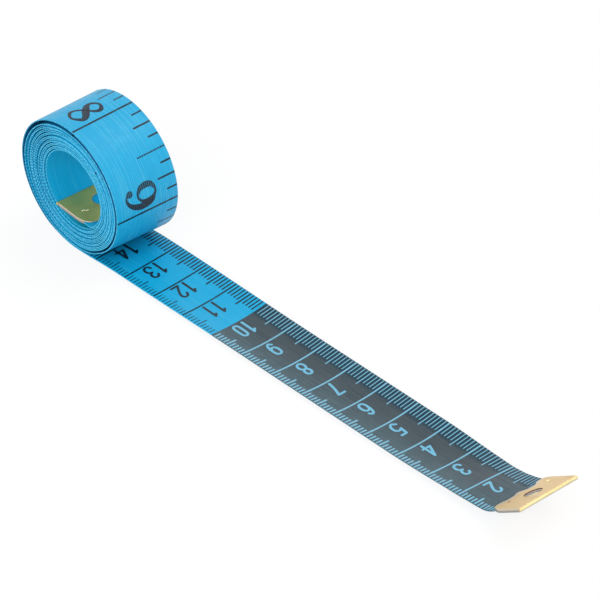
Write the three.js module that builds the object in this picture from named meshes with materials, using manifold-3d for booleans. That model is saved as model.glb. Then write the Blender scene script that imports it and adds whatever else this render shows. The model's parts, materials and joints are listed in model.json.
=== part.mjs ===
// A cloth tape measure, part rolled up: a wound roll, a free strip that runs out from under it, slightly
// cupped across its width, and lifts at its end, and a folded metal tip on each end of the tape.
// Millimetres and degrees. +X runs along the strip from the roll to the outer tip, +Y across the tape,
// +Z up. The strip lies on Z = 0.
import * as THREE from "three";
import { mergeVertices } from "three/addons/utils/BufferGeometryUtils.js";
import Module from "manifold-3d";

// Tape
const TAPE_WIDTH = 16;
const TAPE_THICKNESS = 0.37;

// Roll: a spiral that starts flat under the roll and winds inwards
const ROLL_OUTER_RADIUS = 17.3; // outer face of the outermost turn, where it leaves the ground
const LOOPS = 9;
const TURN_GAP = 0.45; // clear space between neighbouring turns on the tight side
const LOOSE_GAP = 1.2; // added space on the loose side, summed over all turns
const LOOSE_TURNS = 1.2; // turns over which most of the added space is used up
const LOOSE_SIDE = 110; // direction of the loose side, counted from the bottom along the winding
const GROUND_FLAT = 4.2; // the outermost turn lies flat this far past the roll's lowest line
const STEPS_PER_LOOP = 36;

// Free strip: a fixed foot beside the roll, blue and then dark lengths that flex against each other, and
// an end that lifts
const GROUND_LENGTH = 127; // from the roll's lowest line to where the strip starts to lift
const FOOT_LENGTH = 9;
const BLUE_LENGTHS = 2;
const DARK_LENGTHS = 4;
const DARK_PRINT_LENGTH = 100; // the scale's first stretch is printed dark, and a length ends with it
const SCALE_ZERO_INSET = 1.2; // the scale's zero, from the end of the outer tip's fold
const FLEX_GAP = 0.3; // between two lengths, at each flex line
const FLEX_RANGE = 35; // each way; raised edges are cut back at the flex lines to clear it
const CUP_DEPTH = 0.94; // the strip's edges above its middle
const CUP_FLAT_WIDTH = 4; // flat middle that lies on the ground
const CUP_RAMP = 14; // the cup grows over this length beside the roll, and fades over it before the tip
const CUP_FACETS = 3; // on each side of the flat middle
const RAMP_STEPS = 4;
const END_FLAT_LENGTH = 13;
const END_BEND_RADIUS = 19;
const END_LIFT_ANGLE = 30;
const BEND_STEPS = 8;

// End tips: folded sheet, open at the sides, with the tape's end inside
const TIP_LENGTH = 10;
const TIP_OVERHANG = 0.15; // past each edge of the tape
const TIP_SHEET = 0.35;
const TIP_CLEARANCE = 0.08; // between the tape and each leaf, and at the fold
const TIP_CORNER_RADIUS = 2;
const TIP_HOLE_DIAMETER = 5;
const HOLE_CLEARANCE = 0.2; // the hole in the tape is wider than the tip's by this all round
const HOLE_SIDES = 24;
const TIP_ENTRY = 0.4; // straight tape outside the tip's open edge

// Inner tip: a chord across the bottom of the bore
const INNER_TIP_ANGLE = 8; // its middle, from the bottom along the winding
const INNER_TIP_SEAT = 0.5; // from its fold's outer corner to the turn below

const TAPE_BLUE = 0x2ba8df;
const TAPE_DARK = 0x55585c;
const TIP_GOLD = 0xd9bd84;
const TIP_BRASS = 0x80793f;

const wasm = await Module();
wasm.setup();

const radians = THREE.MathUtils.degToRad;
const fullTurn = 2 * Math.PI;
const tapeMiddle = TAPE_THICKNESS / 2;
const tipPocket = TAPE_THICKNESS + 2 * TIP_CLEARANCE;
const tipThickness = tipPocket + 2 * TIP_SHEET;
const tipWidth = TAPE_WIDTH + 2 * TIP_OVERHANG;
const rollCentre = new THREE.Vector2(0, ROLL_OUTER_RADIUS);
const lift = radians(END_LIFT_ANGLE);
const bendEnd = GROUND_LENGTH + END_BEND_RADIUS * lift;
const stripLength = bendEnd + TIP_ENTRY + TIP_LENGTH;

// A closed geometry as a solid for joining and cutting
function solidOf(geometry) {
  const bare = geometry.clone();
  bare.deleteAttribute("normal");
  bare.deleteAttribute("uv");
  const merged = mergeVertices(bare, 1e-4);
  return new wasm.Manifold(
    new wasm.Mesh({
      numProp: 3,
      vertProperties: new Float32Array(merged.attributes.position.array),
      triVerts: new Uint32Array(merged.index.array),
    }),
  );
}

// A solid back as a geometry
function geometryOf(solid) {
  const { vertProperties, triVerts } = solid.getMesh();
  const geometry = new THREE.BufferGeometry();
  geometry.setAttribute("position", new THREE.BufferAttribute(new Float32Array(vertProperties), 3));
  geometry.setIndex(new THREE.BufferAttribute(new Uint32Array(triVerts), 1));
  geometry.computeVertexNormals();
  return geometry;
}

// A point on the roll at a distance from its centre, at an angle from the bottom along the winding
function rollPoint(radius, angle) {
  return new THREE.Vector2(-Math.sin(angle), -Math.cos(angle)).multiplyScalar(radius).add(rollCentre);
}

// Middle radius of the spiral at an angle wound from the start: an even pitch, and a share of the
// loose gap that grows over the first turns and is widest on the loose side
function spiralRadius(angle) {
  const turns = angle / fullTurn;
  const pitch = TAPE_THICKNESS + TURN_GAP;
  const loose = LOOSE_GAP * (1 - Math.exp(-turns / LOOSE_TURNS));
  const side = (1 + Math.cos(angle - radians(LOOSE_SIDE))) / 2;
  return ROLL_OUTER_RADIUS - tapeMiddle - pitch * turns - loose * side;
}

// The roll's inner end: the tape leaves the spiral on an arc and runs straight into the inner tip.
// The tip's outer corners keep INNER_TIP_SEAT from the turn below; the angle at which the arc starts
// and the radius there depend on each other, so they are settled in a few rounds.
function innerEnd() {
  const tipAngle = fullTurn * LOOPS + radians(INNER_TIP_ANGLE);
  const halfRun = TIP_LENGTH / 2 + TIP_ENTRY;
  const turnBelow = spiralRadius(tipAngle - fullTurn) - tapeMiddle;
  const cornerRadius = turnBelow - INNER_TIP_SEAT;
  const depth = Math.sqrt(cornerRadius ** 2 - (TIP_LENGTH / 2) ** 2) - tipThickness / 2;
  let turn = Math.PI / 4;
  let bend = 0;
  for (let round = 0; round < 12; round += 1) {
    const start = spiralRadius(tipAngle - turn);
    bend = (start ** 2 - halfRun ** 2 - depth ** 2) / (2 * (start - depth));
    turn = Math.atan2(halfRun, depth - bend);
  }
  return { tipAngle, depth, bend, turn, halfRun };
}

// The route of the wound tape: flat on the ground, up onto the spiral at the angle whose tangent meets
// the flat, round to the inner end, and straight to the inside of the inner tip
function rollRoute(inner) {
  const ground = rollPoint(spiralRadius(0), 0);
  const climb = 2 * Math.atan(GROUND_FLAT / spiralRadius(0));
  const startOfBend = inner.tipAngle - inner.turn;
  const steps = Math.ceil(((startOfBend - climb) / fullTurn) * STEPS_PER_LOOP);
  const route = [ground, new THREE.Vector2(-GROUND_FLAT, ground.y)];
  for (let i = 0; i <= steps; i += 1) {
    const angle = climb + ((startOfBend - climb) * i) / steps;
    route.push(rollPoint(spiralRadius(angle), angle));
  }
  const bendCentre = rollPoint(spiralRadius(startOfBend) - inner.bend, startOfBend);
  for (let i = 1; i <= BEND_STEPS; i += 1) {
    const angle = startOfBend + (inner.turn * i) / BEND_STEPS;
    route.push(rollPoint(inner.bend, angle).sub(rollCentre).add(bendCentre));
  }
  const along = new THREE.Vector2(-Math.cos(inner.tipAngle), Math.sin(inner.tipAngle));
  const run = TIP_ENTRY + TIP_LENGTH - TIP_SHEET - TIP_CLEARANCE;
  route.push(route.at(-1).clone().addScaledVector(along, run));
  return route;
}

// The two faces of a tape along a route, as points beside each point of the route
function tapeFaces(route) {
  const normals = route.map((point, i) => {
    const before = route[Math.max(i - 1, 0)];
    const after = route[Math.min(i + 1, route.length - 1)];
    const along = after.clone().sub(before).normalize();
    return new THREE.Vector2(-along.y, along.x);
  });
  const face = (side) => route.map((point, i) => point.clone().addScaledVector(normals[i], side * tapeMiddle));
  return [face(1), face(-1)];
}

// Turns an extrusion of an outline in X and Z so that its depth lies across the tape, centred on Y = 0
function acrossTape(outline, width) {
  const geometry = new THREE.ExtrudeGeometry(outline, { depth: width, bevelEnabled: false });
  return geometry.rotateX(Math.PI / 2).translate(0, width / 2, 0);
}

// The wound tape, flat across, along a route in the XZ plane
function tapeAlong(route) {
  const [left, right] = tapeFaces(route);
  return acrossTape(new THREE.Shape([...left, ...right.reverse()]), TAPE_WIDTH);
}

// The strip's middle line at a distance from the roll: flat, round the bend, and straight into the tip
function stripLine(distance) {
  const turn = THREE.MathUtils.clamp((distance - GROUND_LENGTH) / END_BEND_RADIUS, 0, lift);
  const along = new THREE.Vector2(Math.cos(turn), Math.sin(turn));
  const up = new THREE.Vector2(-along.y, along.x);
  const point = new THREE.Vector2(Math.min(distance, GROUND_LENGTH), tapeMiddle);
  point.x += END_BEND_RADIUS * along.y;
  point.y += END_BEND_RADIUS * (1 - along.x);
  point.addScaledVector(along, Math.max(distance - bendEnd, 0));
  return { point, along, up };
}

// Share of the cup at a distance from the roll
function cupShare(distance) {
  const grown = THREE.MathUtils.smoothstep(distance, 0, CUP_RAMP);
  const faded = THREE.MathUtils.smoothstep(distance, bendEnd - CUP_RAMP, bendEnd);
  return grown * (1 - faded);
}

// The distances between two ends at which the strip's form changes: its ramps and its bend
function formChanges(from, to) {
  const changes = [];
  const spread = (start, end, steps) => {
    for (let i = 0; i <= steps; i += 1) changes.push(start + ((end - start) * i) / steps);
  };
  spread(0, CUP_RAMP, RAMP_STEPS);
  spread(bendEnd - CUP_RAMP, GROUND_LENGTH, RAMP_STEPS);
  spread(GROUND_LENGTH, bendEnd, BEND_STEPS);
  const apart = CUP_RAMP / (4 * RAMP_STEPS);
  const kept = [];
  for (const place of changes.sort((a, b) => a - b)) {
    const last = kept.at(-1) ?? from;
    if (place > last + apart && place < to - apart) kept.push(place);
  }
  return [from, ...kept, to];
}

// Points across the tape: a place from its middle, and the share of the cup's depth there
function cupSection() {
  const flat = CUP_FLAT_WIDTH / 2;
  const side = [];
  for (let i = 0; i <= CUP_FACETS; i += 1) {
    const share = i / CUP_FACETS;
    side.push({ place: flat + (TAPE_WIDTH / 2 - flat) * share, raised: share ** 2 });
  }
  const mirrored = side.map(({ place, raised }) => ({ place: -place, raised }));
  return [...mirrored.reverse(), ...side];
}

// A stretch of the strip between two distances from the roll, with each end cut back where it is raised
// above the flex line there
function stripAlong(from, to) {
  const section = cupSection();
  const stations = formChanges(from, to);
  const positions = [];
  const cutBack = Math.tan(radians(FLEX_RANGE / 2));
  stations.forEach((distance, i) => {
    const { point, along, up } = stripLine(distance);
    const end = i === 0 ? 1 : i === stations.length - 1 ? -1 : 0;
    const ring = [
      ...section.map((spot) => ({ ...spot, face: tapeMiddle })),
      ...section.map((spot) => ({ ...spot, face: -tapeMiddle })).reverse(),
    ];
    for (const { place, raised, face } of ring) {
      const height = CUP_DEPTH * cupShare(distance) * raised + face;
      const spot = point.clone().addScaledVector(up, height);
      spot.addScaledVector(along, end * cutBack * Math.max(height, 0));
      positions.push(spot.x, place, spot.y);
    }
  });
  const around = 2 * section.length;
  const faces = [];
  const quad = (a, b, c, d) => faces.push(a, b, c, a, c, d);
  for (let i = 1; i < stations.length; i += 1) {
    for (let j = 0; j < around; j += 1) {
      const next = (j + 1) % around;
      quad((i - 1) * around + j, i * around + j, i * around + next, (i - 1) * around + next);
    }
  }
  const last = (stations.length - 1) * around;
  for (let j = 1; j < section.length; j += 1) {
    const [upper, lower] = [j, around - 1 - j];
    quad(upper - 1, upper, lower, lower + 1);
    quad(last + lower + 1, last + lower, last + upper, last + upper - 1);
  }
  const geometry = new THREE.BufferGeometry();
  geometry.setAttribute("position", new THREE.BufferAttribute(new Float32Array(positions), 3));
  geometry.setIndex(faces);
  geometry.computeVertexNormals();
  return geometry;
}

// Cuts the tip's hole through a stretch of tape whose end lies in a tip placed by a matrix
function withTipHole(geometry, placing) {
  const radius = TIP_HOLE_DIAMETER / 2 + HOLE_CLEARANCE;
  const drill = new THREE.CylinderGeometry(radius, radius, 2 * tipThickness, HOLE_SIDES);
  drill.rotateX(Math.PI / 2).translate(-TIP_LENGTH / 2, 0, 0).applyMatrix4(placing);
  return geometryOf(solidOf(geometry).subtract(solidOf(drill)));
}

// A folded tip in its own frame: the fold ends at X = 0 and the open edge is at -TIP_LENGTH
function tipGeometry() {
  const outside = tipThickness / 2;
  const inside = tipPocket / 2;
  const section = new THREE.Shape();
  section.moveTo(-TIP_LENGTH, -outside);
  section.lineTo(-outside, -outside);
  section.absarc(-outside, 0, outside, -Math.PI / 2, Math.PI / 2, false);
  section.lineTo(-TIP_LENGTH, outside);
  section.lineTo(-TIP_LENGTH, inside);
  section.lineTo(-TIP_SHEET, inside);
  section.lineTo(-TIP_SHEET, -inside);
  section.lineTo(-TIP_LENGTH, -inside);
  section.closePath();
  const side = tipWidth / 2;
  const corner = TIP_CORNER_RADIUS;
  const plan = new THREE.Shape();
  plan.moveTo(0, -side);
  plan.lineTo(0, side);
  plan.lineTo(corner - TIP_LENGTH, side);
  plan.absarc(corner - TIP_LENGTH, side - corner, corner, Math.PI / 2, Math.PI, false);
  plan.lineTo(-TIP_LENGTH, corner - side);
  plan.absarc(corner - TIP_LENGTH, corner - side, corner, Math.PI, 1.5 * Math.PI, false);
  plan.closePath();
  const hole = new THREE.Path();
  hole.absarc(-TIP_LENGTH / 2, 0, TIP_HOLE_DIAMETER / 2, 0, fullTurn, true);
  plan.holes.push(hole);
  const flat = new THREE.ExtrudeGeometry(plan, {
    depth: 2 * tipThickness,
    bevelEnabled: false,
    curveSegments: HOLE_SIDES / 2,
  });
  flat.translate(0, 0, -tipThickness);
  return geometryOf(solidOf(acrossTape(section, 2 * tipWidth)).intersect(solidOf(flat)));
}

// Where a tip's frame lies: its fold at a point of the XZ plane, turned up from +X by an angle
function tipPlacing(fold, lift) {
  return new THREE.Matrix4().makeRotationY(-lift).setPosition(fold.x, 0, fold.y);
}

// Least distance between two turns of a route, from the points of each face to the other face's edges
function leastGap(route) {
  const [left, right] = tapeFaces(route);
  const closest = new THREE.Vector3();
  const edge = new THREE.Line3();
  const lift = (point) => new THREE.Vector3(point.x, point.y, 0);
  let least = Infinity;
  for (const [face, other] of [[left, right], [right, left]]) {
    const edges = other.map(lift);
    face.map(lift).forEach((point, i) => {
      for (let j = 1; j < edges.length; j += 1) {
        if (Math.abs(i - j) < STEPS_PER_LOOP / 2) continue;
        edge.set(edges[j - 1], edges[j]).closestPointToPoint(point, true, closest);
        least = Math.min(least, closest.distanceTo(point));
      }
    });
  }
  return least;
}

const object = new THREE.Group();

function addMesh(name, geometry, color, roughness, metalness) {
  const mesh = new THREE.Mesh(geometry, new THREE.MeshStandardMaterial({ color, roughness, metalness }));
  mesh.name = name;
  object.add(mesh);
  return mesh;
}

function addTape(name, geometry, color) {
  return addMesh(name, geometry, color, 0.45, 0);
}

function addTip(name, placing, color) {
  addMesh(name, tipGeometry(), color, 0.3, 1).applyMatrix4(placing);
}

// Roll and inner tip
const inner = innerEnd();
const wound = rollRoute(inner);
const innerAlong = new THREE.Vector2(-Math.cos(inner.tipAngle), Math.sin(inner.tipAngle));
const innerFold = wound.at(-1).clone().addScaledVector(innerAlong, TIP_SHEET + TIP_CLEARANCE);
const innerPlacing = tipPlacing(innerFold, Math.atan2(innerAlong.y, innerAlong.x));
addTape("tape_roll", withTipHole(tapeAlong(wound), innerPlacing), TAPE_BLUE);
addTip("inner_end_tip", innerPlacing, TIP_BRASS);

// Free strip: the foot, and lengths that part at the flex lines
const darkStart = stripLength - SCALE_ZERO_INSET - DARK_PRINT_LENGTH;
const endStart = GROUND_LENGTH - END_FLAT_LENGTH;
const flexLines = [];
for (let i = 0; i < BLUE_LENGTHS; i += 1) {
  flexLines.push(FOOT_LENGTH + ((darkStart - FOOT_LENGTH) * i) / BLUE_LENGTHS);
}
for (let i = 0; i <= DARK_LENGTHS; i += 1) {
  flexLines.push(darkStart + ((endStart - darkStart) * i) / DARK_LENGTHS);
}
const halfGap = FLEX_GAP / 2;
addTape("tape_foot", stripAlong(halfGap, FOOT_LENGTH - halfGap), TAPE_BLUE);
for (let i = 1; i < flexLines.length; i += 1) {
  const length = stripAlong(flexLines[i - 1] + halfGap, flexLines[i] - halfGap);
  addTape(`tape_length_${i}`, length, i <= BLUE_LENGTHS ? TAPE_BLUE : TAPE_DARK);
}

// Lifted end and outer tip
const outerEnd = stripLine(stripLength);
const outerPlacing = tipPlacing(outerEnd.point, lift);
const endPiece = stripAlong(endStart + halfGap, stripLength - TIP_SHEET - TIP_CLEARANCE);
addTape("tape_end", withTipHole(endPiece, outerPlacing), TAPE_DARK);
addTip("outer_end_tip", outerPlacing, TIP_GOLD);

// The origin is under the middle of the whole part
const box = new THREE.Box3().setFromObject(object);
object.position.x = -(box.min.x + box.max.x) / 2;

console.log(`least gap between turns of the roll: ${leastGap(wound).toFixed(3)} mm`);
console.log(`strip from the roll to the outer fold: ${stripLength.toFixed(2)} mm`);
console.log(`flex lines at ${flexLines.map((line) => line.toFixed(3)).join(", ")} mm from the roll axis`);
console.log(`roll axis at X ${object.position.x.toFixed(3)}, Z ${rollCentre.y.toFixed(3)} mm`);

export default object;
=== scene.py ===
"""A part-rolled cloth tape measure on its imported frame: the wound roll, the free strip, the printed scales
and the folded metal tips. The shape functions work in millimetres and in the frame's axes. The meshes are
in metres."""

import json
import math
from types import SimpleNamespace

import bpy
import numpy as np
from bpy.props import FloatProperty, FloatVectorProperty, IntProperty, PointerProperty
from mathutils import Matrix, Vector


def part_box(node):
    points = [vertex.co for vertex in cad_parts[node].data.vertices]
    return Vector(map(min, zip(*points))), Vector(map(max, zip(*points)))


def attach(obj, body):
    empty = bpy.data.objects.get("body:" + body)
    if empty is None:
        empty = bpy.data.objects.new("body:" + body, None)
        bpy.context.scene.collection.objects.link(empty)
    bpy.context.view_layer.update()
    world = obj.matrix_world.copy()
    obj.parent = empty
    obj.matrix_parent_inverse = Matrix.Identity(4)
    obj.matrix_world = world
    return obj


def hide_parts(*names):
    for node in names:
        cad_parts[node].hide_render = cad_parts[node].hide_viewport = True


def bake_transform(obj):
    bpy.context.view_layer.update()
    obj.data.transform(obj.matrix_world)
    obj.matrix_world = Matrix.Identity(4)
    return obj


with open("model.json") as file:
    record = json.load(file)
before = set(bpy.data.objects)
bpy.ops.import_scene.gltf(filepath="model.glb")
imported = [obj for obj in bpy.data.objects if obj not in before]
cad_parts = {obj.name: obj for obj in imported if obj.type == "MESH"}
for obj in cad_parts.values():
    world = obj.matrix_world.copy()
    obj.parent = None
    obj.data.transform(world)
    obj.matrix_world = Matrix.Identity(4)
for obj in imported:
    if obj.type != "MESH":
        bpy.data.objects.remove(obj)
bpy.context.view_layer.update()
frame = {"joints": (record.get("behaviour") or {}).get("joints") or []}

bl_info = {
    "name": "Cloth tape measure",
    "version": (1, 0, 0),
    "blender": (4, 5, 0),
    "location": "3D View > Sidebar > Tape",
    "description": "Builds a part-rolled cloth tape measure with printed scales and folded tips",
    "category": "Add Mesh",
}

MM = 0.001
FULL_TURN = 2 * math.pi

# Sampling of the shapes
STRIP_STEP = 0.7
STEPS_PER_TURN = 132
BEND_STEPS = 24
BAND_POINTS = 15
EDGE_POINTS = 3
STROKE_STEPS = 7
CAP_STEPS = 5
CAP_ANGLE = math.radians(86)
RIBBON_POINTS = 5
LEAF_STEPS = 144
LEAF_RINGS = 14
FOLD_STEPS = 20
MARK_STRIDE = 6
LINE_SAMPLES = 4001
SETTLE_ROUNDS = 16
RING_POWER = 1.2

# UV maps of the tape: millimetres along the scale, and across the tape or through its thickness
FACE_MAP = "tape_face_mm"
EDGE_MAP = "tape_edge_mm"

# Zones of the tape and of a tip, in the order of their materials
CM_FACE, INCH_FACE, CUT_EDGE = range(3)
SHEET, EDGE, FOLD, RIM, LOWER = range(5)

# Course of the strip: the power with which its slope grows, and ramps in millimetres from the roll
BEND_POWER = 1.2
RISE_START = 6
FOOT_RISE = 14
TILT_FADE = (20, 60)

# Ramps before the tip, in millimetres, the part of its ramp that the cup leaves flat, and the twist's loss
CROWN_RISE = (16, 10)
CROWN_FALL = (7, 1)
CUP_FLAT = 0.2
TWIST_RISE = (32, 9)
TWIST_LOSS = 0.75

# Course of the winding: lengths in millimetres, ramps in turns, and the waves of its bunching and wander
PATH_SLACK_LENGTH = 75
LEAN_START = 3
MEAN_RADIUS = 13
FIRST_STEP_TURNS = (0.82, 1.04)
FIRST_SLACK_TURNS = (0.7, 1.6)
BUNCH_PHASE = 0.125
WANDER_TURNS = (0.8, 1.6)
WANDER_RATES = (0.37, 0.83)
WANDER_SECOND = 0.6

# Tape inside a tip, in millimetres: its reach, the cut end's margins and clearance, and the closed hole
TIP_GRIP = 1.2
END_MARGIN = 1.6
HOLE_CLEARANCE = 0.2
PINHOLE = 0.01

# Plates: powers of the near and far corner at the back and of those in front, and their edges in millimetres
SQUARE_CORNERS = (40, 40, 40)
LEAF_CORNERS = (4.5, 9, 40)
ROUND_CORNERS = (2, 2, 2)
END_LIP = 0.06
LEAF_LIP = 0.12
MARK_LIP = 0.02

# A tip's leaf, in millimetres: ramps of its lobes and crimp from the open edge, its sides and its near corner
LOBE_LENGTH = 3.2
PRESS_LENGTH = 1.6
SIDE_TURN = (0.8, 0.3)
SIDE_START = (1.3, 1.9)
SIDE_GAP = 0.01
CORNER_ALONG = -1
CORNER_ACROSS = (3, 8)
OPEN_EDGE_COSINE = -0.54

# A tip's fold: distances from its end, with the shares of the outer and inner radius there, and its zones
FOLD_ENDS = ((0, 0.92, 0.04), (0.1, 1, 0.04), (0.6, 1, 0.04), (0.7, 1, 1))
# The fold's outer side between these angles takes the bright fold colour, partly painted highlight; below the
# lower one it takes the cut edges' colour, painted shade on its underside.
FOLD_TOP = math.radians(30)
FOLD_UNDERSIDE = math.radians(-12)

# Crimp marks: place from the middle of the hole along the tip and across it, in millimetres, and zone
# The outer tip's far mark and the inner tip's marks take the bright fold colour, partly painted highlight;
# the outer tip's near mark takes the dark rim colour, which is painted shade.
OUTER_MARKS = ((-2.35, 5.9, FOLD), (-2.7, -4.7, RIM))
INNER_MARKS = ((-0.9, -5.7, FOLD), (-1.3, -4.95, FOLD))

# Placing of the numbers, in millimetres, the inch numbers' height, and the rise of each stroke's ink
CM_STEP = 10.03
CM_GAP = 1.05
CM_HEIGHT = 4.6
CM_SHIFT = 0.33
CM_SHIFT_STEP = 0.055
CM_DIGIT_STEP = 2.5
CM_PAIR_START = -1.35
INCH = 25.4
INCH_GAP = 1.2
INCH_DIGIT_STEP = 6.2
INCH_FOOT = -5.3
INCH_HEIGHT = 0.94
ROUND_STROKE = 0.6
DOT_LENGTH = 0.01
STROKE_RISE = 0.25

# Printed marks, in millimetres across the tape or along it: where ticks and lines start, and wear, and the
# fade of the painted shade beside the gap under the outermost turn
FAR_TICKS = (4.4, 3.2)
NEAR_TICKS = (-6.1, -5.1)
FIVE_WIDER = 0.02
FIRST_LINE = 14.0
WORN_FROM = 150.0
EIGHTH_FROM = 5.3
QUARTER_FROM = 3.5
HALF_FROM = 0.6
GAP_SHADE_FADE = 4.0

# Threads of the cloth: pitches in millimetres
THREAD_PITCH = 0.47
WEFT_PITCH = 0.62
EDGE_DOT_PITCH = 0.8

# Worn lines of the inch numbers, and the span along X, in metres, over which the cut edge's thread dots fade
# from strong to faint
WEAR_PITCH = 0.0005
DOTS_FADE_X = (-0.077, -0.067)

# Stretches with painted shade beside the gap under the outermost turn, in turns: on the turn itself and on
# the next one
OUTER_GAP_TURNS = (0.06, 0.97)
UNDER_GAP_TURNS = (1.06, 1.9)

# Tints: streaks on the dark ground, hollows of the cloth, painted shade beside the gap under the outermost
# turn, cloth seen through ink, and clouds on metal
STREAK_TINT = (0.72, 0.76, 0.78)
HOLLOW_TINT = (0.7, 0.76, 0.82)
GAP_SHADE_TINT = (0.2, 0.38, 0.52)
THIN_INK = (0.06, 0.24, 0.38)
CLOUD_TINT = (0.86, 0.84, 0.78)

# Ground, in metres
GROUND_REACH = 2.0
GROUND_POINTS = 9
GROUND_HEIGHT = -0.00005

# Lights, each named after its power: place and size, in metres, and the point that all are aimed at
LIGHTS = {
    "key": ((0.35, -0.75, 0.5), 0.7),
    "top": ((0.15, 0.45, 0.8), 0.5),
    "back": ((-0.62, 0.75, 0.36), 0.4),
}
LIT_POINT = (0.0, 0.0, 0.01)


def length(name, description, default):
    """A size in metres."""
    return FloatProperty(name=name, description=description, default=default, unit="LENGTH", precision=5)


def angle(name, description, degrees):
    """An angle, given in degrees and kept in radians."""
    return FloatProperty(name=name, description=description, default=math.radians(degrees), subtype="ANGLE")


def colour(name, description, default):
    """A linear colour."""
    return FloatVectorProperty(
        name=name, description=description, default=default, size=3, min=0, max=1, subtype="COLOR"
    )


class BandSizes(bpy.types.PropertyGroup):
    """Sizes of the tape across and through."""

    width: length("Width", "Width of the tape", 0.016)
    thickness: length("Thickness", "Thickness of the coated cloth", 0.00028)
    rounding: length("Edge rounding", "Radius along the cut edges", 0.0001)
    cup: length("Cup", "Height of the free strip's edges above its middle", 0.00067)
    cup_in: length("Cup start", "Length from the roll over which the cup grows", 0.064)
    cup_out: length("Cup end", "Length before the tip from which the cup fades", 0.029)
    crown: length("Crown", "Fall of the strip's edges below its middle where it bends up", 0.00016)


class RollSizes(bpy.types.PropertyGroup):
    """Sizes of the winding."""

    radius: length("Radius", "Outer radius of the roll at its lowest line", 0.01673)
    turns: IntProperty(name="Turns", description="Whole turns from the ground to the inner tip", default=17)
    pitch: length("Pitch", "Radius that each turn takes up on the tight side", 0.00033)
    bunching: length("Bunching", "Unevenness of the turns' spacing", 0.00008)
    wander: length("Wander", "Unevenness of the turns' edges along the roll's axis", 0.00016)
    first_gap: length("First step", "Step inwards at the end of the outermost turn", 0.00047)
    first_slack: length("First slack", "Slack under the two outermost turns on their loose side", 0.00052)
    first_side: angle("First side", "Direction of the first slack from the bottom along the winding", 106)
    path_slack: length("Path slack", "Tape taken up between the ground and the outermost turn", 0.0018)
    even_slack: length("Even slack", "Slack shared evenly by all turns on the loose side", 0.0024)
    loose_side: angle("Loose side", "Direction of the even slack from the bottom along the winding", 81)
    height: length("Height", "Height of the roll's lowest line above the ground, in its middle", 0.0003)
    tilt: length("Tilt", "Rise of the far end face, and fall of the near one", 0.0003)
    lean: length("Lean", "Shift of the roll above its foot along X", 0.00033)
    skew: length("Skew", "Further shift along X of the far end face, and back of the near one", 0.00108)
    foot_height: length("Foot height", "Height over which the lean and the skew grow", 0.0025)
    cone_x: length("Cone along X", "Shift along X of the far face's top, and back of the near one", -0.00018)
    cone_z: length("Cone along Z", "Shift along Z of the far face's top, and back of the near one", 0.00037)
    tip_angle: angle("Tip angle", "Direction of the inner tip from the bottom along the winding", 5)
    tip_sag: length("Tip sag", "Depth to which the inner tip sinks into the slack turns", 0.00037)
    tip_shift: length("Tip shift", "Shift of the inner tip along X with the slack turns", 0.00105)


class StripSizes(bpy.types.PropertyGroup):
    """Sizes of the free strip."""

    foot: length("Foot", "From the roll's lowest line to the first flex line", 0.009)
    rise: length("Rise", "Height of the strip's middle beside the roll", 0.00075)
    rise_length: length("Rise length", "Length over which the strip comes down to the ground", 0.066)
    ground: length("Ground length", "From the roll's lowest line to where the strip starts to lift", 0.107)
    bend: length("Bend length", "Length over which the strip lifts", 0.0304)
    bend_lift: angle("Bend lift", "Slope of the strip before it turns into the tip", 9)
    turn: length("Turn length", "Length over which the strip turns into the tip's slope", 0.004)
    lift: angle("Lift", "Slope of the outer tip", 31.2)
    twist: length("Twist", "Rise of the near edge, and fall of the far one, before the tip", 0.0007)
    flex_before: length("Flex before", "Length before a flex line from which the strip bends", 0.0036)
    flex_after: length("Flex after", "Length after a flex line up to which the strip bends", 0.0042)


class TipSizes(bpy.types.PropertyGroup):
    """Sizes of the folded end tips."""

    length: length("Length", "From the fold to the open edge", 0.0105)
    width: length("Width", "Width of a tip", 0.0163)
    sheet: length("Sheet", "Thickness of the metal", 0.00027)
    clearance: length("Clearance", "Between the tape and each leaf", 0.00006)
    entry: length("Entry", "Straight tape outside the open edge", 0.0004)
    hole: length("Hole", "Diameter of the hole", 0.0042)
    hole_shift: length("Hole shift", "From the outer tip's middle to its hole, towards the tape", 0.00035)
    corner: length("Corner", "Rise of the outer tip's near corner at the open edge", 0.00017)
    wave: length("Wave", "Height of the lobes along the open edge", 0.0009)
    press: length("Press", "Depth to which the open edge is crimped", 0.00003)
    mark: length("Mark", "Radius of the crimp marks", 0.00036)
    mark_height: length("Mark height", "Height of the crimp marks", 0.00013)


class ScaleSizes(bpy.types.PropertyGroup):
    """Sizes of the printed scales."""

    zero_inset: length("Zero inset", "The scale's zero from the outer fold", 0.00153)
    dark_length: length("Dark length", "First stretch of the centimetre face, printed dark", 0.1)
    printed: length("Printed length", "Length of the scales from their zero", 1.455)
    ink: length("Ink", "Height of the printed numbers above the cloth", 0.00002)


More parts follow.
